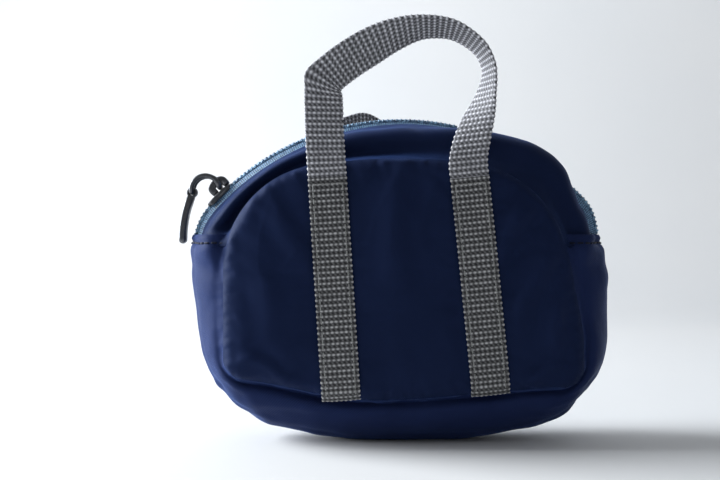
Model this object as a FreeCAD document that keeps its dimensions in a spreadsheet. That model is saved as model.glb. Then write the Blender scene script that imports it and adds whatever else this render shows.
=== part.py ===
import FreeCAD, Part
import math
import os

import Sketcher

# Miniature zipped carry case. Millimetres, +Z up, the front faces -Y, the origin is the middle of the base.
# The zip runs over a circular arch in the XZ plane about (0, zip_z), then round a tighter shoulder to the hem.

NUMBERS = {
    # zip arch
    "zip_z": 17.7,
    "arch_r": 70.0,
    "arch_half": 49.0,
    "shoulder_r": 16.5,
    "strip_end": 8.0,
    "hem_end": 14.0,
    "zip_end": 11.5,
    "fabric": 0.8,
    "gap": 0.15,
    "coil_r": 69.0,
    "coil_wire": 0.65,
    "coil_y": 0.8,
    "tape_in": 1.55,
    "tape_out": 6.6,
    "tape_top": 69.1,
    "tape_thick": 0.5,
    "lip_y": 3.6,
    "crown_y": 7.0,
    # body
    "seam_y": 15.0,
    "seam_drop": 12.0,
    "bulge_r": 10.8,
    "gusset": 0.9,
    "corner_r": 24.0,
    "panel_shoulder": 10.0,
    "bevel": 5.0,
    "front_y": 20.0,
    "mouth_z": 55.5,
    "mouth_open": 15.0,
    "fold_drop": 2.0,
    # webbing
    "web_width": 10.0,
    "web_thick": 1.2,
    "web_gap": 0.15,
    "leg_mid": 41.0,
    "leg_foot": 16.2,
    "foot_step": 1.1,
    "leg_top": 70.8,
    "fold_play": 0.6,
    "loop_start": 0.5,
    "loop_base": 92.0,
    "loop_rise": 20.6,
    "loop_half": 20.8,
    "loop_shift": 1.5,
    "back_lean": 70.0,
    # slider, link and pull tab
    "slider_rest": 45.4,
    "slider_half": 3.5,
    "bridge_ahead": 1.3,
    "slider_y": 2.4,
    "web_y": 0.07,
    "plate": 0.65,
    "plate_play": 0.4,
    "bridge_y": 0.7,
    "bridge_hole": 1.7,
    "bridge_bar": 0.8,
    "bridge_half": 2.7,
    "bridge_leg": 0.9,
    "link_wire": 0.6,
    "link_y": 2.05,
    "link_r": 3.9,
    "link_tilt": 10.0,
    "eye_hole": 0.66,
    "eye_outer": 1.4,
    "eye_y": 1.35,
    "tab_y": 2.2,
    "tab_thick": 1.7,
    "tab_long": 14.0,
    "tab_lean": 13.0,
}

doc = FreeCAD.newDocument("carry_case")
sheet = doc.addObject("Spreadsheet::Sheet", "sheet")
for row, (alias, number) in enumerate(NUMBERS.items(), start=1):
    sheet.set("A%d" % row, alias)
    sheet.set("B%d" % row, str(number))
    sheet.setAlias("B%d" % row, alias)
sheet.Label = "sheet"
workings = doc.addObject("Spreadsheet::Sheet", "workings")
doc.recompute()

NODES = []


def value(text):
    """The number an expression on the sheet comes to, worked out in a spare cell of its own sheet."""
    workings.set("A1", "=" + text.replace("sheet.", "<<sheet>>."))
    workings.recompute()
    result = workings.get("A1")
    return float(getattr(result, "Value", result))


def origin_of(body, role):
    return [item for item in body.Origin.OriginFeatures if item.Role == role][0]


def new_body(name):
    body = doc.addObject("PartDesign::Body", name)
    body.Label = name
    NODES.append(body)
    return body


def sketch_on(body, name, plane, offset="0"):
    """A sketch on one of the body's own planes, moved along that plane's normal."""
    sketch = body.newObject("Sketcher::SketchObject", name)
    sketch.AttachmentSupport = [(origin_of(body, plane), "")]
    sketch.MapMode = "FlatFace"
    sketch.AttachmentOffset = FreeCAD.Placement(
        FreeCAD.Vector(0, 0, value(offset)), FreeCAD.Rotation()
    )
    sketch.setExpression("AttachmentOffset.Base.z", offset)
    return sketch


def arc_through(start, end, radius, left):
    """The short arc of that radius from start to end, bulging left or right of the way it runs."""
    ax, ay = start
    bx, by = end
    chord = math.hypot(bx - ax, by - ay)
    rise = math.sqrt(max(radius * radius - chord * chord / 4, 0.0))
    side = -1.0 if left else 1.0
    cx = (ax + bx) / 2 - side * (by - ay) / chord * rise
    cy = (ay + by) / 2 + side * (bx - ax) / chord * rise
    first = math.atan2(ay - cy, ax - cx)
    last = math.atan2(by - cy, bx - cx)
    if left:
        first, last = last, first
    circle = Part.Circle(FreeCAD.Vector(cx, cy, 0), FreeCAD.Vector(0, 0, 1), radius)
    return Part.ArcOfCircle(circle, first, last)


def draw(sketch, points, arcs=None, closed=True):
    """Lines and arcs through points given as pairs of expressions.

    arcs maps the index of an edge to (radius expression, bulges left)."""
    arcs = arcs or {}
    spots = [(value(px), value(py)) for px, py in points]
    count = len(points) if closed else len(points) - 1
    starts = []
    ends = []
    for edge in range(count):
        start = spots[edge]
        end = spots[(edge + 1) % len(spots)]
        if edge in arcs:
            radius, left = arcs[edge]
            sketch.addGeometry(arc_through(start, end, value(radius), left))
            starts.append(2 if left else 1)
            ends.append(1 if left else 2)
        else:
            sketch.addGeometry(
                Part.LineSegment(FreeCAD.Vector(*start, 0), FreeCAD.Vector(*end, 0))
            )
            starts.append(1)
            ends.append(2)
    joined = count if closed else count - 1
    for edge in range(joined):
        after = (edge + 1) % count
        sketch.addConstraint(
            Sketcher.Constraint("Coincident", edge, ends[edge], after, starts[after])
        )
    for index, (px, py) in enumerate(points):
        edge, spot = (index, starts[index]) if index < count else (count - 1, ends[count - 1])
        for kind, text in (("DistanceX", px), ("DistanceY", py)):
            number = sketch.addConstraint(
                Sketcher.Constraint(kind, -1, 1, edge, spot, value(text))
            )
            sketch.setExpression("Constraints[%d]" % number, text)
    for edge, (radius, left) in arcs.items():
        number = sketch.addConstraint(Sketcher.Constraint("Radius", edge, value(radius)))
        sketch.setExpression("Constraints[%d]" % number, radius)
    return sketch


def pad(body, sketch, length, midplane=False, back=False, taper="0"):
    feature = body.newObject("PartDesign::Pad", sketch.Name + "_pad")
    feature.Profile = sketch
    feature.Length = value(length)
    feature.setExpression("Length", length)
    feature.Midplane = midplane
    feature.Reversed = back
    if taper != "0":
        feature.TaperAngle = value(taper)
        feature.setExpression("TaperAngle", taper)
    sketch.Visibility = False
    return feature


def pocket(body, sketch, length, midplane=False, back=False, taper="0"):
    """A pocket, checked to have taken something away."""
    before = body.Shape.Volume
    feature = body.newObject("PartDesign::Pocket", sketch.Name + "_pocket")
    feature.Profile = sketch
    feature.Length = value(length)
    feature.setExpression("Length", length)
    feature.Midplane = midplane
    feature.Reversed = back
    if taper != "0":
        feature.TaperAngle = value(taper)
        feature.setExpression("TaperAngle", taper)
    sketch.Visibility = False
    doc.recompute()
    if body.Shape.Volume > before - 0.01:
        raise RuntimeError(feature.Name + " cuts nothing")
    return feature


def revolve_about_zip(body, sketch, half_angle):
    """Turns a section about the zip's axis by the same angle to both sides."""
    feature = body.newObject("PartDesign::Revolution", sketch.Name + "_turn")
    feature.Profile = sketch
    feature.ReferenceAxis = (origin_of(body, "Y_Axis"), [""])
    feature.Angle = 2 * value(half_angle)
    feature.setExpression("Angle", "2 * " + half_angle)
    feature.Midplane = True
    sketch.Visibility = False
    return feature


def shoulder_centre():
    """The centre of the tighter bend between the arch and the side, as two expressions."""
    reach = "(sheet.arch_r - sheet.shoulder_r)"
    return (
        "(%s * sin(sheet.arch_half))" % reach,
        "(sheet.zip_z + %s * cos(sheet.arch_half))" % reach,
    )


def sweep_over_arch(body, section, end_angle):
    """Sweeps a section drawn at the top of the arch down to the right-hand hem and mirrors it."""
    centre_x, centre_z = shoulder_centre()
    spine = sketch_on(body, section.Name + "_spine", "XZ_Plane")
    path = [
        ("0", "sheet.zip_z + sheet.arch_r"),
        (
            "sheet.arch_r * sin(sheet.arch_half)",
            "sheet.zip_z + sheet.arch_r * cos(sheet.arch_half)",
        ),
        (
            "%s + sheet.shoulder_r * cos(%s)" % (centre_x, end_angle),
            "%s + sheet.shoulder_r * sin(%s)" % (centre_z, end_angle),
        ),
    ]
    draw(spine, path, {0: ("sheet.arch_r", True), 1: ("sheet.shoulder_r", True)}, closed=False)
    pipe_and_mirror(body, section, spine)


def pipe_and_mirror(body, section, spine):
    pipe = body.newObject("PartDesign::AdditivePipe", section.Name + "_pipe")
    pipe.Profile = section
    pipe.Spine = spine
    section.Visibility = False
    spine.Visibility = False
    doc.recompute()
    mirrored = body.newObject("PartDesign::Mirrored", section.Name + "_mirror")
    mirrored.Originals = [pipe]
    mirrored.MirrorPlane = (origin_of(body, "YZ_Plane"), [""])
    body.Tip = mirrored


def mirror_y(side, text):
    """An across-the-bag distance on the front (-1) or the back (+1)."""
    return "-(%s)" % text if side < 0 else text


# --- zip strips, tapes and coils -------------------------------------------------------------------

ARCH_TOP = "(sheet.zip_z + sheet.arch_r)"
SEAM_TOP = "(sheet.zip_z + sheet.arch_r - sheet.seam_drop)"


def zip_strip(name, side):
    """The fabric from the lip beside the zip over the crown down to the panel seam."""
    body = new_body(name)
    sketch = sketch_on(body, name + "_section", "YZ_Plane")
    inner = ARCH_TOP + " - sheet.fabric"
    points = [
        (mirror_y(side, "sheet.lip_y"), inner),
        (mirror_y(side, "sheet.lip_y"), ARCH_TOP),
        (mirror_y(side, "sheet.crown_y"), ARCH_TOP),
        (mirror_y(side, "sheet.seam_y"), SEAM_TOP),
        (mirror_y(side, "sheet.seam_y - sheet.fabric"), SEAM_TOP),
        (mirror_y(side, "sheet.crown_y"), inner),
    ]
    arcs = {
        2: ("sheet.bulge_r", side > 0),
        4: ("sheet.bulge_r - sheet.fabric", side < 0),
    }
    draw(sketch, points, arcs)
    sweep_over_arch(body, sketch, "sheet.strip_end")
    return body


def zip_tape(name, side):
    body = new_body(name)
    sketch = sketch_on(body, name + "_section", "YZ_Plane")
    near = mirror_y(side, "sheet.tape_in")
    far = mirror_y(side, "sheet.tape_out")
    top = "sheet.zip_z + sheet.tape_top"
    low = top + " - sheet.tape_thick"
    draw(sketch, [(near, low), (far, low), (far, top), (near, top)])
    sweep_over_arch(body, sketch, "sheet.zip_end")
    return body


def zip_coil(name, side):
    body = new_body(name)
    sketch = sketch_on(body, name + "_section", "YZ_Plane")
    near = mirror_y(side, "sheet.coil_y - sheet.coil_wire")
    far = mirror_y(side, "sheet.coil_y + sheet.coil_wire")
    middle = "sheet.zip_z + sheet.coil_r"
    half = "sheet.coil_wire * 0.7"
    points = [
        (near, middle + " - " + half),
        (far, middle + " - " + half),
        (far, middle + " + " + half),
        (near, middle + " + " + half),
    ]
    arcs = {
        0: ("sheet.coil_wire * 1.1", side < 0),
        2: ("sheet.coil_wire * 1.1", side < 0),
    }
    draw(sketch, points, arcs)
    sweep_over_arch(body, sketch, "sheet.zip_end")
    return body


# --- lower gusset ----------------------------------------------------------------------------------

# Half the case's outer width.
SIDE_X = (
    "((sheet.arch_r - sheet.shoulder_r) * sin(sheet.arch_half)"
    " + sheet.shoulder_r + sheet.gap + sheet.gusset)"
)


def lower_gusset(name):
    """One band of fabric from hem to hem, down one side, along the base and up the other."""
    body = new_body(name)
    section = sketch_on(body, name + "_section", "YZ_Plane")
    edge = "sheet.seam_drop - sheet.gap"
    inside = "(sheet.seam_y + sheet.gap)"
    outside = "(sheet.seam_y + sheet.gap + sheet.gusset)"
    points = [
        ("-sheet.crown_y", "0"),
        ("sheet.crown_y", "0"),
        (outside, edge),
        (inside, edge),
        ("sheet.crown_y", "sheet.gusset"),
        ("-sheet.crown_y", "sheet.gusset"),
        ("-" + inside, edge),
        ("-" + outside, edge),
    ]
    arcs = {
        1: ("sheet.bulge_r + sheet.gusset", False),
        3: ("sheet.bulge_r", True),
        5: ("sheet.bulge_r", True),
        7: ("sheet.bulge_r + sheet.gusset", False),
    }
    draw(section, points, arcs)

    spine = sketch_on(body, name + "_spine", "XZ_Plane")
    shoulder = "(sheet.shoulder_r + sheet.gap + sheet.gusset)"
    corner = "(sheet.corner_r + sheet.gusset)"
    centre_x, centre_z = shoulder_centre()
    path = [
        ("0", "0"),
        (SIDE_X + " - " + corner, "0"),
        (SIDE_X, corner),
        (SIDE_X, centre_z),
        (
            "%s + %s * cos(sheet.hem_end)" % (centre_x, shoulder),
            "%s + %s * sin(sheet.hem_end)" % (centre_z, shoulder),
        ),
    ]
    draw(spine, path, {1: (corner, False), 3: (shoulder, False)}, closed=False)
    pipe_and_mirror(body, section, spine)
    return body


# --- front and back panels -------------------------------------------------------------------------


def panel_outline(sketch, inset):
    """The panel's outline: an arch, two shoulders, two sides, two corners and a base."""
    arch = "(sheet.arch_r - sheet.seam_drop - %s)" % inset
    shoulder = "(sheet.panel_shoulder - %s)" % inset
    corner = "(sheet.corner_r + sheet.gusset - sheet.seam_drop - %s)" % inset
    bend_x = "(%s - sheet.seam_drop - sheet.panel_shoulder)" % SIDE_X
    reach = "(sheet.arch_r - sheet.seam_drop - sheet.panel_shoulder)"
    rise = "sqrt(%s * %s - %s * %s)" % (reach, reach, bend_x, bend_x)
    side_x = "(%s + %s)" % (bend_x, shoulder)
    meet_x = "(%s * %s / %s)" % (arch, bend_x, reach)
    meet_z = "(sheet.zip_z + %s * %s / %s)" % (arch, rise, reach)
    low = "(sheet.seam_drop + %s)" % inset
    points = [
        ("-(%s - %s)" % (side_x, corner), low),
        ("%s - %s" % (side_x, corner), low),
        (side_x, "%s + %s" % (low, corner)),
        (side_x, "sheet.zip_z + " + rise),
        (meet_x, meet_z),
        ("-" + meet_x, meet_z),
        ("-" + side_x, "sheet.zip_z + " + rise),
        ("-" + side_x, "%s + %s" % (low, corner)),
    ]
    arcs = {
        1: (corner, False),
        3: (shoulder, False),
        4: (arch, False),
        5: (shoulder, False),
        7: (corner, False),
    }
    return draw(sketch, points, arcs)


def below_mouth(side):
    """Everything under the level the mouth hinges at."""
    far = mirror_y(side, "40")
    top = "sheet.mouth_z - sheet.fold_drop"
    return [("0", "-10"), (far, "-10"), (far, top), ("0", top)]


def above_mouth(side):
    """Everything over the slope that comes down level with the hinge when the mouth is open."""
    far = mirror_y(side, "40")
    foot = "sheet.mouth_z + 0.1"
    slope = foot + " + 40 * tan(sheet.mouth_open)"
    return [("0", foot), (far, slope), (far, "120"), ("0", "120")]


def fold_band(side):
    far = mirror_y(side, "40")
    low = "sheet.mouth_z - sheet.fold_drop + 0.05"
    foot = "sheet.mouth_z + 0.05"
    slope = foot + " + 40 * tan(sheet.mouth_open)"
    return [("0", low), (far, low), (far, slope), ("0", foot)]


def panel(name, side, band):
    """A shallow tray, open to the inside, of which only one band of heights is kept."""
    whole = doc.addObject("PartDesign::Body", name + "_tray")
    front = sketch_on(whole, name + "_outline", "XZ_Plane", mirror_y(-side, "sheet.seam_y + sheet.gap"))
    panel_outline(front, "0")
    depth = "sheet.front_y - sheet.seam_y - sheet.gap"
    slant = "atan(sheet.bevel / (%s))" % depth
    pad(whole, front, depth, back=side > 0, taper="-" + slant)
    doc.recompute()
    inner = sketch_on(whole, name + "_hollow", "XZ_Plane", mirror_y(-side, "sheet.seam_y + sheet.gap"))
    panel_outline(inner, "(sheet.fabric / cos(%s))" % slant)
    pocket(whole, inner, depth + " - sheet.fabric", back=side < 0, taper="-" + slant)

    keep = doc.addObject("PartDesign::Body", name + "_keep")
    region = sketch_on(keep, name + "_region", "YZ_Plane")
    draw(region, band(side))
    pad(keep, region, "140", midplane=True)
    doc.recompute()

    common = doc.addObject("Part::Common", name)
    common.Base = whole
    common.Tool = keep
    common.Label = name
    NODES.append(common)
    return common


# --- webbing ---------------------------------------------------------------------------------------

LEGS = {
    ("front", "left"): (-17.7, -3.6),
    ("front", "right"): (20.3, -5.8),
    ("back", "left"): (-18.5, 0.0),
    ("back", "right"): (18.5, 0.0),
}


def leg(name, side, across, lean, band):
    """A length of webbing lying on the panel, from the bottom seam towards the loop."""
    body = new_body(name)
    sketch = sketch_on(body, name + "_side", "YZ_Plane")
    near = "(sheet.front_y + sheet.web_gap)"
    far = "(sheet.front_y + sheet.web_gap + sheet.web_thick)"
    tilt = "tan(sheet.mouth_open)"
    play = "sheet.fold_play"
    low_near = "sheet.leg_foot"
    if band == "lower":
        cut = "sheet.mouth_z - " + play
        foot = "(sheet.seam_y + sheet.web_gap + sheet.foot_step)"
        toe = "(sheet.seam_drop + 0.5)"
        points = [
            (mirror_y(side, foot), toe),
            (mirror_y(side, foot + " + sheet.web_thick * 1.2"), toe),
            (mirror_y(side, far), low_near + " - 0.6"),
            (mirror_y(side, far), cut),
            (mirror_y(side, near), cut),
            (mirror_y(side, near), low_near),
        ]
    elif band == "fold":
        cut = "sheet.mouth_z + 0.05 - " + play
        points = [
            (mirror_y(side, near), cut),
            (mirror_y(side, far), cut),
            (mirror_y(side, far), "sheet.mouth_z + %s + %s * %s - 0.05" % (play, far, tilt)),
            (mirror_y(side, near), "sheet.mouth_z + %s + %s * %s - 0.05" % (play, near, tilt)),
        ]
    else:
        points = [
            (mirror_y(side, near), "sheet.mouth_z + %s + %s * %s" % (play, near, tilt)),
            (mirror_y(side, far), "sheet.mouth_z + %s + %s * %s" % (play, far, tilt)),
            (mirror_y(side, far), "sheet.leg_top"),
            (mirror_y(side, near), "sheet.leg_top"),
        ]
    draw(sketch, points)
    pad(body, sketch, "sheet.web_width", midplane=True)
    turn = FreeCAD.Rotation(FreeCAD.Vector(0, 1, 0), lean)
    pivot = FreeCAD.Vector(0, 0, value("sheet.leg_mid"))
    base = FreeCAD.Vector(across, 0, 0) + pivot - turn.multVec(pivot)
    body.Placement = FreeCAD.Placement(base, turn)
    return body


def leg_end(side_name, hand):
    """Where a sewn leg stops: x and z of the middle of its top edge."""
    across, lean = LEGS[(side_name, hand)]
    reach = value("sheet.leg_top - sheet.leg_mid")
    angle = math.radians(lean)
    return across + reach * math.sin(angle), value("sheet.leg_mid") + reach * math.cos(angle)


def loop(name, side, side_name):
    """The free grip: webbing that rises, turns edge-wise over an arch and comes down again."""
    body = new_body(name)
    left_x, left_z = leg_end(side_name, "left")
    right_x, right_z = leg_end(side_name, "right")
    left_lean = LEGS[(side_name, "left")][1]
    right_lean = LEGS[(side_name, "right")][1]
    y = side * value("sheet.front_y + sheet.web_gap + sheet.web_thick / 2")
    start = value("sheet.loop_start")
    base = value("sheet.loop_base")
    rise = value("sheet.loop_rise")
    shift = value("sheet.loop_shift") if side < 0 else 0.0
    half = value("sheet.loop_half")
    run = shift + half - right_x
    slope = math.degrees(math.atan2(run, base - right_z))
    stations = [(left_x, left_z + start, left_lean, 0.0)]
    for part in (0.25, 0.5, 0.75):
        x = left_x + (shift - half - left_x) * part
        z = left_z + start + (base - left_z - start) * part
        stations.append((x, z, left_lean * (1 - part), 20.0 * part**2))
    for step in range(13):
        turn = math.radians(180.0 * step / 12)
        x = shift - half * math.cos(turn)
        z = base + rise * math.sin(turn)
        heading = math.degrees(math.atan2(half * math.sin(turn), rise * math.cos(turn)))
        twist = 20.0 + 70.0 * max(math.sin(turn), 0.0) ** 0.8
        stations.append((x, z, heading, twist))
    for part in (0.75, 0.5, 0.25):
        x = right_x + (shift + half - right_x) * part
        z = right_z + start + (base - right_z - start) * part
        stations.append((x, z, 180.0 + slope * math.sin(math.pi * part) ** 0.5, 20.0 * part**2))
    stations.append((right_x, right_z + start, 180.0 + right_lean, 0.0))
    sections = []
    for index, (x, z, heading, twist) in enumerate(stations):
        sketch = body.newObject("Sketcher::SketchObject", "%s_cut%d" % (name, index))
        sketch.AttachmentSupport = [(origin_of(body, "XY_Plane"), "")]
        sketch.MapMode = "FlatFace"
        turn = FreeCAD.Rotation(FreeCAD.Vector(0, 1, 0), heading)
        roll = FreeCAD.Rotation(FreeCAD.Vector(0, 0, 1), twist)
        sketch.AttachmentOffset = FreeCAD.Placement(FreeCAD.Vector(x, y, z), turn.multiply(roll))
        wide = "sheet.web_width / 2"
        thin = "sheet.web_thick / 2"
        draw(
            sketch,
            [("-" + wide, "-" + thin), (wide, "-" + thin), (wide, thin), ("-" + wide, thin)],
        )
        sketch.Visibility = False
        sections.append(sketch)
    loft = body.newObject("PartDesign::AdditiveLoft", name + "_loft")
    loft.Profile = sections[0]
    loft.Sections = sections[1:]
    loft.Ruled = True
    if side > 0:
        pivot = FreeCAD.Vector(
            0, value("sheet.front_y + sheet.web_gap + sheet.web_thick"), value("sheet.leg_top")
        )
        turn = FreeCAD.Rotation(FreeCAD.Vector(1, 0, 0), -value("sheet.back_lean"))
        body.Placement = FreeCAD.Placement(pivot - turn.multVec(pivot), turn)
    return body


# --- slider, link and pull tab ---------------------------------------------------------------------


def slider_turn(body, extra=0.0):
    """Puts a piece drawn at the top of the arch where the slider rests."""
    angle = -value("sheet.slider_rest") + extra
    body.Placement = FreeCAD.Placement(
        FreeCAD.Vector(0, 0, value("sheet.zip_z")),
        FreeCAD.Rotation(FreeCAD.Vector(0, 1, 0), angle),
    )


PLATE_LOW = "(sheet.coil_r + sheet.coil_wire + sheet.plate_play)"
PLATE_TOP = "(sheet.coil_r + sheet.coil_wire + sheet.plate_play + sheet.plate)"
UNDER_TOP = "(sheet.coil_r - sheet.coil_wire - sheet.plate_play)"
UNDER_LOW = "(sheet.coil_r - sheet.coil_wire - sheet.plate_play - sheet.plate)"


def slider_body(name):
    """Two plates, over and under the coils, held by a web between them."""
    body = new_body(name)
    sketch = sketch_on(body, name + "_section", "YZ_Plane")
    wide = "sheet.slider_y"
    thin = "sheet.web_y"
    points = [
        ("-" + wide, UNDER_LOW),
        (wide, UNDER_LOW),
        (wide, UNDER_TOP),
        (thin, UNDER_TOP),
        (thin, PLATE_LOW),
        (wide, PLATE_LOW),
        (wide, PLATE_TOP),
        ("-" + wide, PLATE_TOP),
        ("-" + wide, PLATE_LOW),
        ("-" + thin, PLATE_LOW),
        ("-" + thin, UNDER_TOP),
        ("-" + wide, UNDER_TOP),
    ]
    draw(sketch, points)
    revolve_about_zip(body, sketch, "sheet.slider_half")
    slider_turn(body)
    return body


def slider_bridge(name):
    """The arch on the slider's back that holds the link."""
    body = new_body(name)
    sketch = sketch_on(body, name + "_side", "XZ_Plane")
    low = PLATE_TOP + " + 0.05"
    under = PLATE_TOP + " + sheet.bridge_hole"
    top = under + " + sheet.bridge_bar"
    out = "sheet.bridge_half"
    inn = "(sheet.bridge_half - sheet.bridge_leg)"
    points = [
        ("-" + out, low),
        ("-" + inn, low),
        ("-" + inn, under),
        (inn, under),
        (inn, low),
        (out, low),
        (out, top + " - 0.6"),
        (out + " - 0.6", top),
        ("-(" + out + " - 0.6)", top),
        ("-" + out, top + " - 0.6"),
    ]
    draw(sketch, points)
    pad(body, sketch, "2 * sheet.bridge_y", midplane=True)
    slider_turn(body, value("sheet.bridge_ahead"))
    return body


def hole_centre():
    """The middle of the bridge's opening in the XZ plane."""
    reach = value(PLATE_TOP + " + sheet.bridge_hole / 2")
    angle = math.radians(value("sheet.bridge_ahead - sheet.slider_rest"))
    return FreeCAD.Vector(reach * math.sin(angle), 0, value("sheet.zip_z") + reach * math.cos(angle))


def eye_centre():
    """The middle of the tab's eye: the far end of the link's half circle."""
    tilt = math.radians(value("sheet.link_tilt"))
    span = 2 * value("sheet.link_r")
    return hole_centre() + FreeCAD.Vector(-span * math.cos(tilt), 0, -span * math.sin(tilt))


def pull_link(name):
    """A wire link bent to a half circle: two rails and a cross bar at either end."""
    wire = "sheet.link_wire"
    start = hole_centre()
    end = eye_centre()
    middle = (start + end) * 0.5
    pieces = []
    for index, across in enumerate((-1, 1)):
        rail = doc.addObject("Part::Torus", "%s_rail%d" % (name, index))
        rail.setExpression("Radius1", "sheet.link_r")
        rail.setExpression("Radius2", wire)
        rail.Angle3 = 180.0
        turn = FreeCAD.Rotation(FreeCAD.Vector(1, 0, 0), 90.0)
        tilt = FreeCAD.Rotation(FreeCAD.Vector(0, 1, 0), -value("sheet.link_tilt"))
        place = FreeCAD.Vector(middle.x, across * value("sheet.link_y"), middle.z)
        rail.Placement = FreeCAD.Placement(place, tilt.multiply(turn))
        pieces.append(rail)
        for tag, spot in (("start", start), ("end", end)):
            knuckle = doc.addObject("Part::Sphere", "%s_%s_knuckle%d" % (name, tag, index))
            knuckle.setExpression("Radius", wire)
            knuckle.Placement.Base = FreeCAD.Vector(spot.x, place.y, spot.z)
            pieces.append(knuckle)
    for tag, spot in (("start", start), ("end", end)):
        bar = doc.addObject("Part::Cylinder", "%s_%s_bar" % (name, tag))
        bar.setExpression("Radius", wire)
        bar.setExpression("Height", "2 * sheet.link_y")
        bar.Placement = FreeCAD.Placement(
            FreeCAD.Vector(spot.x, value("sheet.link_y"), spot.z),
            FreeCAD.Rotation(FreeCAD.Vector(1, 0, 0), 90.0),
        )
        pieces.append(bar)
    link = doc.addObject("Part::MultiFuse", name)
    link.Shapes = pieces
    link.Label = name
    NODES.append(link)
    return link


def pull_tab(name):
    """A long slightly curved tab with an eye that turns on the link's lower bar."""
    body = new_body(name)
    eye = sketch_on(body, name + "_eye", "XZ_Plane")
    eye.addGeometry(Part.Circle(FreeCAD.Vector(0, 0, 0), FreeCAD.Vector(0, 0, 1), 1.0))
    eye.addConstraint(Sketcher.Constraint("Coincident", 0, 3, -1, 1))
    size = eye.addConstraint(Sketcher.Constraint("Radius", 0, value("sheet.eye_outer")))
    eye.setExpression("Constraints[%d]" % size, "sheet.eye_outer")
    pad(body, eye, "2 * sheet.eye_y", midplane=True)
    blade = sketch_on(body, name + "_blade", "XZ_Plane")
    half = "sheet.tab_thick / 2"
    top = "-(sheet.eye_outer - 0.25)"
    neck = "-(sheet.eye_outer + sheet.gap + 0.9)"
    end = "-sheet.tab_long"
    points = [
        ("-0.6", top),
        ("-%s" % half, neck),
        ("-%s" % half, end + " + 0.5"),
        ("-%s + 0.5" % half, end),
        (half + " - 0.5", end),
        (half, end + " + 0.5"),
        (half, neck),
        ("0.6", top),
    ]
    arcs = {
        1: ("sheet.tab_long * 4", True),
        5: ("sheet.tab_long * 4", False),
    }
    draw(blade, points, arcs)
    pad(body, blade, "2 * sheet.eye_y", midplane=True)
    plate = sketch_on(body, name + "_plate", "XZ_Plane")
    low = [
        ("-%s" % half, neck),
        ("-%s" % half, end + " + 0.5"),
        ("-%s + 0.5" % half, end),
        (half + " - 0.5", end),
        (half, end + " + 0.5"),
        (half, neck),
    ]
    draw(plate, low, {0: ("sheet.tab_long * 4", True), 4: ("sheet.tab_long * 4", False)})
    pad(body, plate, "2 * sheet.tab_y", midplane=True)
    doc.recompute()
    hole = sketch_on(body, name + "_hole", "XZ_Plane")
    hole.addGeometry(Part.Circle(FreeCAD.Vector(0, 0, 0), FreeCAD.Vector(0, 0, 1), 0.6))
    hole.addConstraint(Sketcher.Constraint("Coincident", 0, 3, -1, 1))
    size = hole.addConstraint(Sketcher.Constraint("Radius", 0, value("sheet.eye_hole")))
    hole.setExpression("Constraints[%d]" % size, "sheet.eye_hole")
    pocket(body, hole, "10", midplane=True)
    body.Placement = FreeCAD.Placement(
        eye_centre(), FreeCAD.Rotation(FreeCAD.Vector(0, 1, 0), value("sheet.tab_lean"))
    )
    return body


for side_name, side in (("front", -1), ("back", 1)):
    panel(side_name + "_panel_lower", side, below_mouth)
    panel(side_name + "_panel_fold", side, fold_band)
    panel(side_name + "_panel_upper", side, above_mouth)
    zip_strip(side_name + "_zip_strip", side)
    zip_tape(side_name + "_zip_tape", side)
    zip_coil(side_name + "_zip_coil", side)
    for hand in ("left", "right"):
        across, lean = LEGS[(side_name, hand)]
        for band in ("lower", "fold", "upper"):
            leg("%s_webbing_%s_%s" % (side_name, hand, band), side, across, lean, band)
    loop(side_name + "_handle_loop", side, side_name)

lower_gusset("lower_gusset")
slider_body("slider_body")
slider_bridge("slider_bridge")
pull_link("pull_link")
pull_tab("pull_tab")

doc.recompute()

for item in doc.Objects:
    if "Invalid" in item.State or "Error" in item.State:
        raise RuntimeError("%s is %s" % (item.Name, item.State))
for node in NODES:
    if node.Shape.isNull() or not node.Shape.isValid():
        raise RuntimeError(node.Label + " has no valid shape")

os.makedirs("parts", exist_ok=True)
for node in NODES:
    node.Shape.exportStep(os.path.join("parts", node.Label + ".step"))
    box = node.Shape.BoundBox
    print(
        "%-30s solids %d volume %8.1f  x %6.1f %6.1f  y %6.1f %6.1f  z %6.1f %6.1f"
        % (
            node.Label,
            len(node.Shape.Solids),
            node.Shape.Volume,
            box.XMin,
            box.XMax,
            box.YMin,
            box.YMax,
            box.ZMin,
            box.ZMax,
        )
    )
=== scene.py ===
from math import atan2, cos, degrees, hypot, pi, radians, sin, sqrt, tan

import bmesh
import bpy
import numpy as np
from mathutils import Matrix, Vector, noise
from mathutils.bvhtree import BVHTree
from mathutils.geometry import delaunay_2d_cdt


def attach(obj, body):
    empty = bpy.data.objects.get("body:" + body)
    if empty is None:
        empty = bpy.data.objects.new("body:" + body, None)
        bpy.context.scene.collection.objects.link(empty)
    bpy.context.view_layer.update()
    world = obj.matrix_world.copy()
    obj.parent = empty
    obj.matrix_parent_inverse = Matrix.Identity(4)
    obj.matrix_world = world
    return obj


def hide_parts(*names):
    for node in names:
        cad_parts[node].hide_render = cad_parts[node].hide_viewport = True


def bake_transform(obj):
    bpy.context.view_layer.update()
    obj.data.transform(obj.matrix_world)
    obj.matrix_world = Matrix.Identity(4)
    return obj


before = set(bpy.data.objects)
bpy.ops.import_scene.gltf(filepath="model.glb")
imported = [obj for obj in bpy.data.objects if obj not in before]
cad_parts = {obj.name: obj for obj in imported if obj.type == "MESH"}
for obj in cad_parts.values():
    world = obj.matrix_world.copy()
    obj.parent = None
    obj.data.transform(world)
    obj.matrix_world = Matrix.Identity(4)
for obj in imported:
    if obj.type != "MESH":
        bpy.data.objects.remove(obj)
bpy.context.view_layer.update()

# Miniature zipped carry case. Lengths in this file are millimetres until mesh_object() turns them into metres.
MM = 0.001
SCENE = bpy.context.scene

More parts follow.
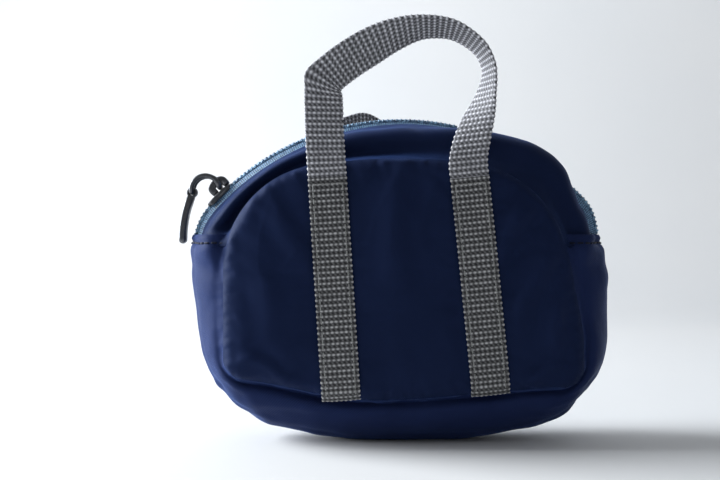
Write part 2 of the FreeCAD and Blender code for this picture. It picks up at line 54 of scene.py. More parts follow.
# The case: +X right, -Y front, +Z up. The zip runs over a circular arch about (0, ZIP_Z) and two tighter shoulders.
ZIP_Z = 17.7
ARCH_R = 70.0
SHOULDER_R = 16.5
SHOULDER = (40.38, 52.8)
SIDE_X = 57.93
CORNER_R = 24.9
SEAM_TOP = 75.9
SEAM_ARCH_R = 160.0
SEAM_SHOULDER_R = 28.0
SEAM_SIDE_X = 45.9
SEAM_CORNER_R = 5.5
SEAM_BASE = 12.6
SEAM_Y = 17.8
CROWN_Y = 7.0
LIP_Y = 3.6
HEM_TOP = 56.1
HEM_STITCH = 53.7
HEM_PITCH = 2.2
STRIP_FOOT = 53.0
HINGE_Z = 70.8
STRAP_W = 10.0
STRAP_T = 1.2
PICK = 1.42  # the webbing's weave repeats at this length, and at DOT across
DOT = 1.22
LOCK_LINE = 3.85  # rows of stitches on each side of a leg's middle


# ---- small helpers
def smooth(x):
    x = np.clip(x, 0.0, 1.0)
    return x * x * (3 - 2 * x)


def bump(x, centre, half):
    """1 at the centre, falling smoothly to 0 at half away."""
    return smooth(1 - abs(x - centre) / half)


def wobble(x, y, z, scale, seed):
    return noise.noise(Vector((x / scale + seed, y / scale - seed, z / scale + 3.1 * seed)))


def unit(v):
    return v / np.linalg.norm(v, axis=-1, keepdims=True)


def run_along(points):
    """Distance of each point of a line from its first one."""
    return np.concatenate([[0], np.cumsum(np.linalg.norm(np.diff(points, axis=0), axis=1))])


def grid_faces(rows, columns):
    return [(r * columns + c, r * columns + c + 1, (r + 1) * columns + c + 1, (r + 1) * columns + c)
            for r in range(rows - 1) for c in range(columns - 1)]


def tube(faces, first, rings, sides, closed=False):
    """Joins rings of points, the first of them at index first: capped at both ends, or closed into a ring."""
    for i in range(rings if closed else rings - 1):
        a, b = first + i * sides, first + (i + 1) % rings * sides
        faces.extend((a + k, a + (k + 1) % sides, b + (k + 1) % sides, b + k) for k in range(sides))
    if not closed:
        faces.append([first + k for k in range(sides)][::-1])
        faces.append([first + (rings - 1) * sides + k for k in range(sides)])


def linked(name, data):
    obj = bpy.data.objects.new(name, data)
    SCENE.collection.objects.link(obj)
    return obj


def mesh_object(name, points, faces, material=None, uv=None):
    """points in millimetres; uv is one (u, v) a point or a face corner, in millimetres along and across the weave."""
    mesh = bpy.data.meshes.new(name)
    mesh.from_pydata([tuple(p * MM for p in q) for q in points], [], [tuple(int(i) for i in f) for f in faces])
    if uv is not None:
        layer = mesh.uv_layers.new(name="weave")
        corners = np.asarray(uv, np.float32)
        if len(corners) == len(points):
            loops = np.zeros(len(mesh.loops), np.int32)
            mesh.loops.foreach_get("vertex_index", loops)
            corners = corners[loops]
        layer.data.foreach_set("uv", corners.ravel())
    mesh.polygons.foreach_set("use_smooth", [True] * len(mesh.polygons))
    if material is not None:
        mesh.materials.append(material)
    return linked(name, mesh)


def edited(obj, change):
    bm = bmesh.new()
    bm.from_mesh(obj.data)
    change(bm)
    bm.to_mesh(obj.data)
    bm.free()
    return obj


def outward(obj):
    return edited(obj, lambda bm: bmesh.ops.recalc_face_normals(bm, faces=bm.faces))


def applied(obj):
    """Bakes the object's modifiers into its mesh."""
    bpy.context.view_layer.update()
    graph = bpy.context.evaluated_depsgraph_get()
    mesh = bpy.data.meshes.new_from_object(obj.evaluated_get(graph))
    obj.modifiers.clear()
    obj.data = mesh
    return obj


def subdivided(obj):
    mod = obj.modifiers.new("smooth", "SUBSURF")
    mod.levels = mod.render_levels = 1
    return applied(obj)


def thickened(obj, thickness):
    mod = obj.modifiers.new("cloth", "SOLIDIFY")
    mod.thickness = thickness * MM
    mod.offset = -1
    applied(obj)
    obj.data.set_sharp_from_angle(angle=radians(55))
    return obj


def vectors(mesh, field):
    read = np.zeros(len(mesh.vertices) * 3)
    mesh.vertices.foreach_get(field, read)
    return read.reshape(-1, 3)


def coordinates(obj):
    return vectors(obj.data, "co") / MM


def set_coordinates(obj, co):
    obj.data.vertices.foreach_set("co", (np.asarray(co) * MM).ravel())
    obj.data.update()
    return obj


# ---- the sewn skin, before it is cut into its pieces
HALF_COUNTS = (20, 20, 17, 46)
CURVE_CELLS = 11
SECTION_YS = (5.3, LIP_Y, 1.8, 0.0)
HALF_SECTION = CURVE_CELLS + len(SECTION_YS)
ACROSS = 2 * HALF_SECTION + 1
GRID = 1.6
LEGS = {
    "front_webbing_left": (-1, -17.7, -3.6),
    "front_webbing_right": (-1, 20.3, -5.8),
    "back_webbing_left": (1, -18.5, 0.0),
    "back_webbing_right": (1, 18.5, 0.0),
}
LEG_MID = 41.0


def leg_x(name, z):
    _, middle, lean = LEGS[name]
    return middle + tan(radians(lean)) * (z - LEG_MID)


def arc(centre, radius, start, end, count):
    turns = [radians(start + (end - start) * i / count) for i in range(count)]
    return [(centre[0] + radius * cos(t), centre[1] + radius * sin(t)) for t in turns]


def outline(arch_r, arch_z, shoulder_r, shoulder_x, side_x, corner_r, base_z):
    """Closed loop in XZ: from the bottom centre up the right side, over the top and down the left side."""
    bottom, corner, side, top = HALF_COUNTS
    foot = (side_x - corner_r, base_z + corner_r)
    shoulder = (shoulder_x, arch_z + sqrt((arch_r - shoulder_r) ** 2 - shoulder_x ** 2))
    meet = degrees(atan2(shoulder[1] - arch_z, shoulder[0]))
    half = [(foot[0] * i / bottom, base_z) for i in range(bottom)]
    half += arc(foot, corner_r, -90, 0, corner)
    for i in range(side):
        z = foot[1] + (shoulder[1] - foot[1]) * i / side
        half.append((side_x + (shoulder[0] + shoulder_r - side_x) * smooth((z - shoulder[1] + 8) / 8), z))
    over = arc(shoulder, shoulder_r, 0, meet, 80) + arc((0, arch_z), arch_r, meet, 90, 200) + [(0, arch_z + arch_r)]
    half += list(evenly(np.pad(np.array(over), ((0, 0), (0, 1))), None, top)[0][:, :2])
    half = np.array(half)
    return np.vstack([half, half[-2:0:-1] * (-1, 1)])


def evenly(rows, step, spans=None):
    """Resamples rows, whose first three numbers are a place, at even steps along their path."""
    run = run_along(rows[:, :3])
    count = (spans or max(1, int(round(run[-1] / step)))) + 1
    at = np.linspace(0, run[-1], count)
    return np.stack([np.interp(at, run, rows[:, k]) for k in range(rows.shape[1])], axis=1), at


CROWN = outline(ARCH_R, ZIP_Z, SHOULDER_R, SHOULDER[0], SIDE_X, CORNER_R, 0.0)
SEAM = outline(SEAM_ARCH_R, SEAM_TOP - SEAM_ARCH_R, SEAM_SHOULDER_R, SEAM_SIDE_X - SEAM_SHOULDER_R, SEAM_SIDE_X,
               SEAM_CORNER_R, SEAM_BASE)


def seam_lift(x):
    """How far the panel's bottom seam rises towards its two lower corners."""
    return 5.6 * smooth((-8 - x) / 38) + 3.4 * smooth((x + 8) / 54)


def tuck(x, z):
    """How far the right shoulder leans in below the slider's travel."""
    bearing = np.degrees(np.arctan2(x, z - ZIP_Z))
    return 2.0 * smooth((bearing - 46) / 10) * smooth((z - 38) / 16)


CROWN[:, 0] -= tuck(CROWN[:, 0], CROWN[:, 1])
RIGHT_LEAN = 1.7 - 4.2 * smooth((SEAM[:, 1] - 22) / 36)
SEAM[:, 0] += np.where(SEAM[:, 0] > 0, RIGHT_LEAN, -1.0) * smooth(np.abs(SEAM[:, 0]) / 36)
SEAM[:, 1] += seam_lift(SEAM[:, 0]) * (1 - smooth((SEAM[:, 1] - SEAM_BASE) / 35))
STATIONS = len(CROWN)
BEARING = np.degrees(np.arctan2(CROWN[:, 0], CROWN[:, 1] - ZIP_Z))
INWARD = unit(SEAM - CROWN)
STEPS = np.linalg.norm(np.roll(CROWN, -1, axis=0) - CROWN, axis=1)
RUN = np.concatenate([[0], np.cumsum(STEPS)])


def by_bearing(*knots):
    """A function of the bearing in degrees, 0 at the top and + to the right, straight between its knots."""
    at, value = zip(*knots)
    return lambda bearing: np.interp(bearing, at, value)


# How far the soft lower corners and sides sit inside the full outline.
corner_slack = by_bearing(
    (-180, 1.2), (-145, 1.5), (-128, 2.6), (-120, 5.2), (-112, 7.8), (-102, 7.4), (-92, 5.9), (-82, 4.4), (-76, 3.1),
    (-58, 1.4), (56, 0.2), (62, 0.9), (68, 2.3), (80, 2.4), (90, 4.2), (102, 6.2), (116, 5.4), (126, 2.9), (136, 1.6),
    (180, 1.2))

# How far the fabric's folded edge lies below the top of the zip.
lip_drop = by_bearing(
    (-75, 2.2), (-50, 2.2), (-25, 2.2), (0, 1.4), (30, 1.0), (40, 1.2), (46, 2.4), (56, 3.2), (75, 3.4))

# How far the front strip puffs up beside the zip.
strip_puff = by_bearing(
    (4, 0.0), (10, 1.0), (16, 2.0), (22, 3.2), (28, 4.2), (34, 4.8), (38, 4.2), (42, 2.0), (47, 0.0))

# 1 where the strip rolls over steeply into a hollow along the panel's edge, 0 where it is full.
strip_hollow = by_bearing(
    (-75, 0.2), (-57, 0.7), (-55, 0.8), (-52, 0.2), (-49, 0.95), (-46, 1.1), (-35, 1.1), (-24, 1.0), (-14, 0.9),
    (-6, 0.8), (6, 0.75), (14, 0.6), (22, 0.45), (30, 0.35), (40, 0.45), (50, 0.5), (75, 0.2))

# How deep the gusset dips along the panel's seam: deepest along the bottom.
seam_ditch = by_bearing(
    (-180, 1.0), (-120, 0.9), (-105, 0.5), (-88, 0.25), (-60, 0.15), (60, 0.35), (75, 0.5), (100, 0.7), (120, 0.95),
    (180, 1.0))


# The strip's and the gusset's section from the seam to the crown: depth in Y, and share of the way out to the crown.
HOLLOW_Y = (17.8, 15.0, 12.4, 10.8, 10.5, 11.0, 12.0, 12.7, 12.4, 11.2, 9.3, 7.0)
HOLLOW_OUT = (0.0, 0.01, 0.03, 0.09, 0.2, 0.32, 0.45, 0.58, 0.7, 0.82, 0.93, 1.0)
DITCH_Y = (17.8, 14.6, 13.6, 15.4, 15.8, 15.3, 14.3, 13.0, 11.6, 10.1, 8.6, 7.0)
DITCH_OUT = (0.0, 0.015, 0.05, 0.13, 0.24, 0.37, 0.5, 0.62, 0.74, 0.85, 0.94, 1.0)
CHAMFER = 0.55


def section_point(i, j):
    """Point j of the band's section at station i: j is 0 at the front seam and ACROSS - 1 at the back seam."""
    side = -1 if j <= HALF_SECTION else 1
    k = j if side < 0 else ACROSS - 1 - j
    strip = float(smooth((CROWN[i, 1] - 50) / 7))
    drop = strip * lip_drop(BEARING[i])
    crown_drop = drop + strip * 1.1 + (1 - strip) * (corner_slack(BEARING[i]) + 0.3)
    if side < 0:
        crown_drop -= strip_puff(BEARING[i])
    if k <= CURVE_CELLS:
        t = pi / 2 * k / CURVE_CELLS
        crown = CROWN[i] + INWARD[i] * crown_drop
        hollow = float(smooth((CROWN[i, 1] - 57.5) / 3.5)) * strip_hollow(BEARING[i])
        flat = CHAMFER * (1 - strip)
        out = sin(t) ** 0.92 * (1 - flat) + k / CURVE_CELLS * flat
        inward = (1 - cos(t)) * (1 - flat) + k / CURVE_CELLS * flat
        ditch = (1 - strip) * seam_ditch(BEARING[i])
        plain = 1 - hollow - ditch
        out = out * plain + HOLLOW_OUT[k] * hollow + DITCH_OUT[k] * ditch
        at = SEAM[i] + (crown - SEAM[i]) * out
        y = (SEAM_Y - (SEAM_Y - CROWN_Y) * inward) * plain + HOLLOW_Y[k] * hollow + DITCH_Y[k] * ditch
    else:
        y = SECTION_YS[k - CURVE_CELLS - 1]
        middle = 0.35 * strip + (1 - strip) * max(0.0, corner_slack(BEARING[i]) - 1.1)
        lip = drop if strip > 0.5 else middle
        at = CROWN[i] + INWARD[i] * np.interp(y, (0, LIP_Y, CROWN_Y), (middle, lip, crown_drop))
    return (at[0], side * y, at[1])


def to_seam(points):
    """Distance of each XZ point from the panel's seam."""
    a, b = SEAM, np.roll(SEAM, -1, axis=0)
    ab = b - a
    t = np.clip(((points[:, None] - a) * ab).sum(2) / (ab * ab).sum(1), 0, 1)
    return np.linalg.norm(points[:, None] - (a + t[..., None] * ab), axis=2).min(1)


def inside_seam(points):
    a, b = SEAM, np.roll(SEAM, -1, axis=0)
    x, z = points[:, 0:1], points[:, 1:2]
    crosses = (a[:, 1] > z) != (b[:, 1] > z)
    rise = np.where(b[:, 1] == a[:, 1], 1e-9, b[:, 1] - a[:, 1])
    return (crosses & (x < (b[:, 0] - a[:, 0]) * (z - a[:, 1]) / rise + a[:, 0])).sum(1) % 2 == 1


def panel_grid():
    """The panel as triangles on an even grid: the seam's points come first, then the inner ones."""
    rows = np.arange(SEAM_BASE, 76, GRID * sqrt(3) / 2)
    inner = [(x + GRID / 2 * (r % 2), z) for r, z in enumerate(rows) for x in np.arange(-46.4, 46.4, GRID)]
    inner = np.array(inner)
    inner = inner[inside_seam(inner)]
    inner = inner[to_seam(inner) > 0.8]
    points = np.vstack([SEAM, inner])
    edges = [(i, (i + 1) % STATIONS) for i in range(STATIONS)]
    made = delaunay_2d_cdt([Vector(p) for p in points], edges, [], 1, 1e-5)
    first = [group[0] for group in made[3]]
    return points, [[first[v] for v in face] for face in made[2]]


def panel_depth(away):
    """How far the panel stands out from its seam's plane."""
    return 2.3 * (1 - np.exp(-away / 0.8)) + 0.6 * smooth(away / 22)


PANEL_XZ, PANEL_TRIS = panel_grid()


def build_skin():
    points = [section_point(i, j) for i in range(STATIONS) for j in range(ACROSS)]
    faces, kinds = [], []
    for i in range(STATIONS):
        for j in range(ACROSS - 1):
            a, b = i * ACROSS + j, (i + 1) % STATIONS * ACROSS + j
            faces.append((a, a + 1, b + 1, b))
            kinds.append((i, j))
    depth = panel_depth(to_seam(PANEL_XZ[STATIONS:]))
    for side, column in ((-1, 0), (1, ACROSS - 1)):
        index = [i * ACROSS + column for i in range(STATIONS)]
        index += range(len(points), len(points) + len(depth))
        points += [(x, side * (SEAM_Y + d), z) for (x, z), d in zip(PANEL_XZ[STATIONS:], depth)]
        faces += [tuple(index[v] for v in (t if side < 0 else t[::-1])) for t in PANEL_TRIS]
        kinds += [side] * len(PANEL_TRIS)
    return np.array(points), faces, kinds


def under_leg(points, half=4.7):
    """1 where a point of the skin is under a sewn webbing leg."""
    held = np.zeros(len(points))
    for name, (side, _, _) in LEGS.items():
        across = np.abs(points[:, 0] - leg_x(name, points[:, 2]))
        on = (points[:, 1] * side > SEAM_Y + 0.6) & (points[:, 2] > 15) & (points[:, 2] < 70)
        held = np.maximum(held, on * smooth((half + 1.6 - across) / 1.6))
    return held


PUFF_FRAMES = 20
PUFF_LIMIT = 1.4
CLOTH = {
    "quality": 5, "mass": 0.2, "tension_stiffness": 20, "compression_stiffness": 20, "shear_stiffness": 6,
    "bending_stiffness": 0.6, "air_damping": 4, "vertex_group_mass": "held", "shrink_min": -0.012, "shrink_max": -0.012,
    "use_pressure": True, "uniform_pressure_force": 2.0,
}


def puff(points, faces, held):
    """Blows the sewn skin up a little with cloth pressure, ten times life size, and caps how far a point may go."""
    sim = mesh_object("puff", points * 10, faces)
    group = sim.vertex_groups.new(name="held")
    for i in np.nonzero(held > 0)[0]:
        group.add([int(i)], float(held[i]), "REPLACE")
    cloth = sim.modifiers.new("cloth", "CLOTH")
    for setting, amount in CLOTH.items():
        setattr(cloth.settings, setting, amount)
    cloth.settings.effector_weights.gravity = 0
    cloth.collision_settings.use_collision = False
    cloth.point_cache.frame_start, cloth.point_cache.frame_end = 1, PUFF_FRAMES
    for f in range(1, PUFF_FRAMES + 1):
        SCENE.frame_set(f)
    graph = bpy.context.evaluated_depsgraph_get()
    blown = bpy.data.meshes.new_from_object(sim.evaluated_get(graph))
    moved = vectors(blown, "co") / MM / 10 - points
    bpy.data.objects.remove(sim)
    SCENE.frame_set(1)
    length = np.linalg.norm(moved, axis=1)
    return points + moved * (PUFF_LIMIT * np.tanh(length / PUFF_LIMIT) / np.maximum(length, 1e-9))[:, None]


SKIN_REST, SKIN_FACES, SKIN_KINDS = build_skin()
COLUMN = np.concatenate([np.tile(np.arange(ACROSS), STATIONS), np.full(len(SKIN_REST) - STATIONS * ACROSS, -1)])
on_seam = (COLUMN == 0) | (COLUMN == ACROSS - 1)
by_zip = (COLUMN > CURVE_CELLS - 1) & (COLUMN < ACROSS - CURVE_CELLS) & (SKIN_REST[:, 2] > 46)
held = np.maximum(on_seam | by_zip, under_leg(SKIN_REST))
SKIN = puff(SKIN_REST, SKIN_FACES, held)
slack = np.where(COLUMN >= 0, 0.45, 1.0)[:, None]
SKIN = SKIN_REST + (SKIN - SKIN_REST) * slack
SKIN[:, 2] = np.maximum(SKIN[:, 2], 0.0)


# ---- materials
class Nodes:
    """A new material and small shorthand for its node tree."""

    def __init__(self, name, base, roughness, **sockets):
        self.material = bpy.data.materials.new(name)
        self.material.use_nodes = True
        self.tree = self.material.node_tree
        self.shader = self.tree.nodes["Principled BSDF"]
        self.shader.inputs["Base Color"].default_value = (*base, 1)
        self.shader.inputs["Roughness"].default_value = roughness
        for socket, amount in sockets.items():
            self.shader.inputs[socket.replace("_", " ")].default_value = amount

    def add(self, kind, inputs=(), **props):
        node = self.tree.nodes.new(kind)
        for prop, setting in props.items():
            setattr(node, prop, setting)
        for socket, setting in dict(inputs).items():
            if isinstance(setting, bpy.types.NodeSocket):
                self.tree.links.new(setting, node.inputs[socket])
            else:
                node.inputs[socket].default_value = setting
        return node

    def math(self, operation, a, b=0.0):
        return self.add("ShaderNodeMath", {0: a, 1: b}, operation=operation).outputs[0]

    def wave(self, phase, period):
        """0 to 1 and back once every period."""
        turned = self.math("COSINE", self.math("MULTIPLY", phase, 2 * pi / period))
        return self.total((turned, 0.5), 0.5)

    def total(self, *parts):
        """Sum of parts, each a plain value or a pair (value, weight)."""
        terms = [self.math("MULTIPLY", *part) if isinstance(part, tuple) else part for part in parts]
        whole = terms[0]
        for term in terms[1:]:
            whole = self.math("ADD", whole, term)
        return whole

    def noise(self, vector, scale, detail=3.0, roughness=0.55):
        inputs = {"Vector": vector, "Scale": scale, "Detail": detail, "Roughness": roughness}
        return self.add("ShaderNodeTexNoise", inputs).outputs["Fac"]

    def mix(self, factor, a, b):
        return self.add("ShaderNodeMix", {0: factor, 6: a, 7: (*b, 1)}, data_type="RGBA").outputs[2]

    def ramp(self, factor, stops):
        node = self.add("ShaderNodeValToRGB", {"Fac": factor})
        elements = node.color_ramp.elements
        while len(elements) < len(stops):
            elements.new(0.5)
        for element, (place, colour) in zip(elements, stops):
            element.position = place
            element.color = (*colour, 1)
        return node.outputs["Color"]

    def weave_uv(self):
        uv = self.add("ShaderNodeUVMap", uv_map="weave")
        split = self.add("ShaderNodeSeparateXYZ", {"Vector": uv.outputs["UV"]})
        return split.outputs["X"], split.outputs["Y"]

    def place(self):
        return self.add("ShaderNodeTexCoord").outputs["Object"]

    def bump(self, height, distance, strength=1.0, below=None):
        inputs = {"Height": height, "Distance": distance, "Strength": strength}
        if below is not None:
            inputs["Normal"] = below
        return self.add("ShaderNodeBump", inputs).outputs["Normal"]

    def to(self, socket, value):
        self.tree.links.new(value, self.shader.inputs[socket])


def nylon_material(name, dark, light):
    """Tightly woven nylon: a fine twill, soft mottling and a satin sheen."""
    n = Nodes(name, dark, 0.5, Sheen_Weight=0.18, Sheen_Roughness=0.35, Sheen_Tint=(0.15, 0.33, 1.0, 1),
              Specular_IOR_Level=0.05, Specular_Tint=(0.35, 0.55, 1.0, 1))
    u, v = n.weave_uv()
    place = n.place()
    twill = n.wave(n.math("ADD", u, v), 0.52)
    ribs = n.wave(n.math("SUBTRACT", u, n.math("MULTIPLY", v, 0.35)), 0.37)
    threads = n.total((twill, 0.65), (ribs, 0.35))
    mottle = n.noise(place, 45.0, 4.0)
    grain = n.noise(place, 2600.0, 2.0)
    n.to("Base Color", n.ramp(n.total((threads, 0.42), (mottle, 0.58)), [(0.2, dark), (0.8, light)]))
    n.to("Roughness", n.total((grain, 0.14), (mottle, 0.08), 0.42))
    crinkle = n.bump(n.noise(place, 160.0, 4.0), 0.00035, 0.55)
    n.to("Normal", n.bump(threads, 0.00005, 0.7, crinkle))
    return n.material


def webbing_material(name, gap, yarn, bright):
    """Coarse woven webbing: its colour follows the weave's height, painted shade on the low ground between rows and
    painted highlight on the raised floats.
    """
    n = Nodes(name, yarn, 0.62, Sheen_Weight=0.08, Sheen_Roughness=0.5, Specular_IOR_Level=0.25)
    u, v = n.weave_uv()
    row = n.wave(u, PICK)
    dot = n.math("MULTIPLY", n.math("POWER", row, 1.5), n.total((n.wave(v, DOT), 0.6), 0.4))
    between = n.wave(n.math("ADD", u, PICK / 2), PICK)
    slant = n.total((u, 0.55), v, DOT / 2)
    under = n.math("MULTIPLY", n.math("POWER", between, 2.0), n.math("POWER", n.wave(slant, DOT), 1.5))
    height = n.total(dot, (under, 0.42))
    fibre = n.noise(n.place(), 3800.0, 2.0)
    yarns = n.noise(n.place(), 900.0, 2.0)
    height_shade_and_yarn_tone = n.total((height, n.total((yarns, 0.9), 0.36)), (fibre, 0.2))
    worn = n.noise(n.place(), 130.0, 3.0)
    # The ramp's dark end is painted shade in the gaps, its bright end painted highlight on the floats; the yarn and
    # fibre noise is the yarn's own uneven tone.
    colour = n.ramp(height_shade_and_yarn_tone, [(0.12, gap), (0.42, yarn), (0.92, bright)])
    n.to("Base Color", n.mix(n.math("MULTIPLY", worn, 0.12), colour, yarn))
    n.to("Roughness", n.total((fibre, 0.25), 0.48))
    n.to("Normal", n.bump(n.total(height, (fibre, 0.3)), 0.00012, 0.8))
    return n.material


def tape_material(name, dark, light):
    """Zip tape: fine ribs across the tape, crossed by a herringbone, with flecks."""
    n = Nodes(name, dark, 0.55, Sheen_Weight=0.3, Sheen_Roughness=0.45, Sheen_Tint=(0.6, 0.8, 1.0, 1))
    u, v = n.weave_uv()
    ribs = n.wave(u, 0.62)
    herring = n.wave(n.total(u, (v, 0.8)), 0.5)
    warp = n.wave(v, 0.45)
    height = n.total((ribs, 0.5), (n.math("MULTIPLY", herring, warp), 0.5))
    fleck = n.noise(n.place(), 1500.0, 3.0)
    # The rib height darkens the grooves as painted shade; the light blue is partly the tape's own yarn and partly
    # painted sheen.
    n.to("Base Color", n.ramp(n.total((height, 0.45), (fleck, 0.6)), [(0.34, dark), (0.64, light)]))
    n.to("Roughness", n.total((fleck, 0.2), 0.42))
    n.to("Normal", n.bump(height, 0.00014, 0.9))
    return n.material


def coil_material(name, dark, light):
    n = Nodes(name, dark, 0.32, Specular_IOR_Level=0.55, Coat_Weight=0.15, Coat_Roughness=0.25)
    painted_glint_noise = n.noise(n.place(), 900.0, 3.0)
    # The noise spots the coil's navy with a light steel blue: the light spots are painted highlight, glints on the
    # teeth.
    n.to("Base Color", n.ramp(painted_glint_noise, [(0.38, dark), (0.62, light)]))
    n.to("Roughness", n.total((painted_glint_noise, 0.2), 0.24))
    n.to("Normal", n.bump(painted_glint_noise, 0.00003, 0.6))
    return n.material


def metal_material(name, dark, worn):
    """Gunmetal plating: darker in the hollows, rubbed lighter along its edges."""
    n = Nodes(name, dark, 0.36, Metallic=1.0)
    place = n.place()
    edge = n.add("ShaderNodeNewGeometry").outputs["Pointiness"]
    scratch = n.noise(place, 1900.0, 4.0, 0.7)
    cloud = n.noise(place, 260.0, 3.0)
    wear = n.total((n.math("SUBTRACT", edge, 0.5), 3.0), (scratch, 0.35))
    n.to("Base Color", n.ramp(wear, [(0.12, dark), (0.55, worn)]))
    n.to("Roughness", n.total((cloud, 0.22), (scratch, 0.12), 0.2))
    n.to("Normal", n.bump(scratch, 0.00002, 0.35))
    return n.material


def thread_material(name, dark, light):
    n = Nodes(name, dark, 0.6, Sheen_Weight=0.05, Specular_IOR_Level=0.15)
    twist = n.noise(n.place(), 4200.0, 2.0)
    n.to("Base Color", n.ramp(twist, [(0.3, dark), (0.7, light)]))
    n.to("Normal", n.bump(twist, 0.00005, 0.7))
    return n.material


NYLON = nylon_material("nylon_navy", (0.0064, 0.0108, 0.0335), (0.0112, 0.0192, 0.059))
# A lighter copy of the same nylon for the gusset: painted light, for the window light and sheen on the case's lit side.
NYLON_SIDE_PAINTED_LIGHT = nylon_material("nylon_navy_side_painted_light", (0.0095, 0.0155, 0.050), (0.0165, 0.0270, 0.088))
# The legs and the handle loops are one webbing; the loops' lighter copy is painted light, for the window light that
# falls on them.
WEBBING = webbing_material("webbing_grey", (0.012, 0.012, 0.013), (0.105, 0.105, 0.108), (0.52, 0.52, 0.53))
LOOP_WEBBING_PAINTED_LIGHT = webbing_material("webbing_loop_grey_painted_light", (0.03, 0.03, 0.033), (0.2, 0.2, 0.218), (0.66, 0.66, 0.7))
TAPE = tape_material("zip_tape_blue", (0.010, 0.035, 0.09), (0.17, 0.33, 0.52))
# The coil's light colour is painted highlight.
COIL = coil_material("zip_coil_blue", (0.02, 0.06, 0.14), (0.24, 0.43, 0.62))
METAL = metal_material("gunmetal", (0.055, 0.058, 0.064), (0.2, 0.2, 0.21))
NAVY_THREAD = thread_material("navy_thread", (0.0015, 0.003, 0.011), (0.005, 0.009, 0.03))
GREY_THREAD = thread_material("grey_thread", (0.16, 0.165, 0.165), (0.34, 0.34, 0.33))


# ---- fabric pieces cut from the skin
def crumple(obj, amount):
    """Moves each point along its normal by amount(point), in millimetres."""
    co = coordinates(obj)
    set_coordinates(obj, co + vectors(obj.data, "normal") * amount(co)[:, None])


def sliced(obj, z, keep_above):
    """Cuts the mesh level at height z and keeps one part."""
    edited(obj, lambda bm: bmesh.ops.bisect_plane(
        bm, geom=bm.verts[:] + bm.edges[:] + bm.faces[:], plane_co=(0, 0, z * MM), plane_no=(0, 0, 1),
        clear_inner=keep_above, clear_outer=not keep_above))


CELL_WIDTH = 1.45  # one cell of the section, laid out flat


def cut(name, wanted):
    """One fabric piece of the skin, with its weave laid along its length."""
    picked = [(face, kind) for face, kind in zip(SKIN_FACES, SKIN_KINDS) if wanted(kind)]
    used = sorted({v for face, kind in picked for v in face})
    place = {v: i for i, v in enumerate(used)}
    uv = []
    for face, kind in picked:
        if isinstance(kind, tuple):
            i, j = kind
            near, far = j * CELL_WIDTH, (j + 1) * CELL_WIDTH
            uv += [(RUN[i], near), (RUN[i], far), (RUN[i + 1], far), (RUN[i + 1], near)]
        else:
            uv += [(SKIN[v][2], SKIN[v][0]) for v in face]
    faces = [[place[v] for v in face] for face, kind in picked]
    return mesh_object(name, SKIN[used], faces, NYLON, uv)


def from_seam(co):
    """Distance of each point of the strips or the gusset from the panel's seam."""
    return np.linalg.norm(np.stack([SEAM_Y - np.abs(co[:, 1]), to_seam(co[:, [0, 2]])]), axis=0)


def pucker(co, away, reach, size):
    """Crumples that run away from the seams, laid out by a rough distance round the case."""
    runs = np.arctan2(co[:, 0], co[:, 2] - 36) * 48
    grain = [wobble(r, a / 3.5, y / 30, 3.1, 1.7) + 0.6 * wobble(r, a / 3.0, y / 30, 1.7, 4.2)
             for r, a, y in zip(runs, away, co[:, 1])]
    return size * np.array(grain) * np.exp(-away / reach)


def swell(co, scale, size, seed):
    return size * np.array([wobble(x, y, z, scale, seed) for x, y, z in co])


def hanging_folds(co, seed):
    """Long soft folds that run mostly down the cloth, with a few sharper creases between them."""
    folds = []
    for x, _, z in co:
        soft = wobble(x + 0.22 * z, 0, z * 0.3, 10, seed)
        crease = 1 - min(1.0, abs(wobble(x - 0.3 * z, 0, z * 0.42, 15, seed + 4.4)) / 0.1)
        folds.append(0.8 * soft + 0.16 * crease * crease)
    return np.array(folds)


# Folds that can be seen on the panel: from (x, z) to (x, z), half width and height.
PANEL_FOLDS = (
    ((-34.0, 68.0), (-23.0, 42.0), 4.5, 0.4),
    ((-38.0, 50.0), (-33.0, 22.0), 4.5, 0.25),
    ((-5.0, 73.0), (2.0, 34.0), 6.0, 0.7),
    ((8.0, 72.0), (4.0, 50.0), 3.5, 0.5),
    ((33.0, 69.0), (20.0, 36.0), 5.0, 0.9),
    ((39.0, 58.0), (28.0, 24.0), 5.0, 0.7),
    ((42.0, 42.0), (36.0, 20.0), 4.0, 0.5),
    ((-44.0, 24.0), (-26.0, 17.5), 3.0, 0.5),
    ((30.0, 17.5), (45.0, 22.0), 3.0, 0.5),
)


def drawn_folds(co):
    """Height of the long folds: each is a ridge with a shallow valley on its right."""
    x, z = co[:, 0], co[:, 2]
    total = np.zeros(len(co))
    for (x0, z0), (x1, z1), half, height in PANEL_FOLDS:
        length = hypot(x1 - x0, z1 - z0)
        ux, uz = (x1 - x0) / length, (z1 - z0) / length
        t = ((x - x0) * ux + (z - z0) * uz) / length
        aside = (x - x0) * uz - (z - z0) * ux + 1.6 * np.sin(t * 5 + x0)
        fade = smooth(t / 0.3) * smooth((1 - t) / 0.45)
        valley = 0.8 * np.exp(-((aside + half * 0.9) / half * 1.9) ** 2)
        total += height * fade * (np.exp(-(aside / half * 1.6) ** 2) - valley)
    return total


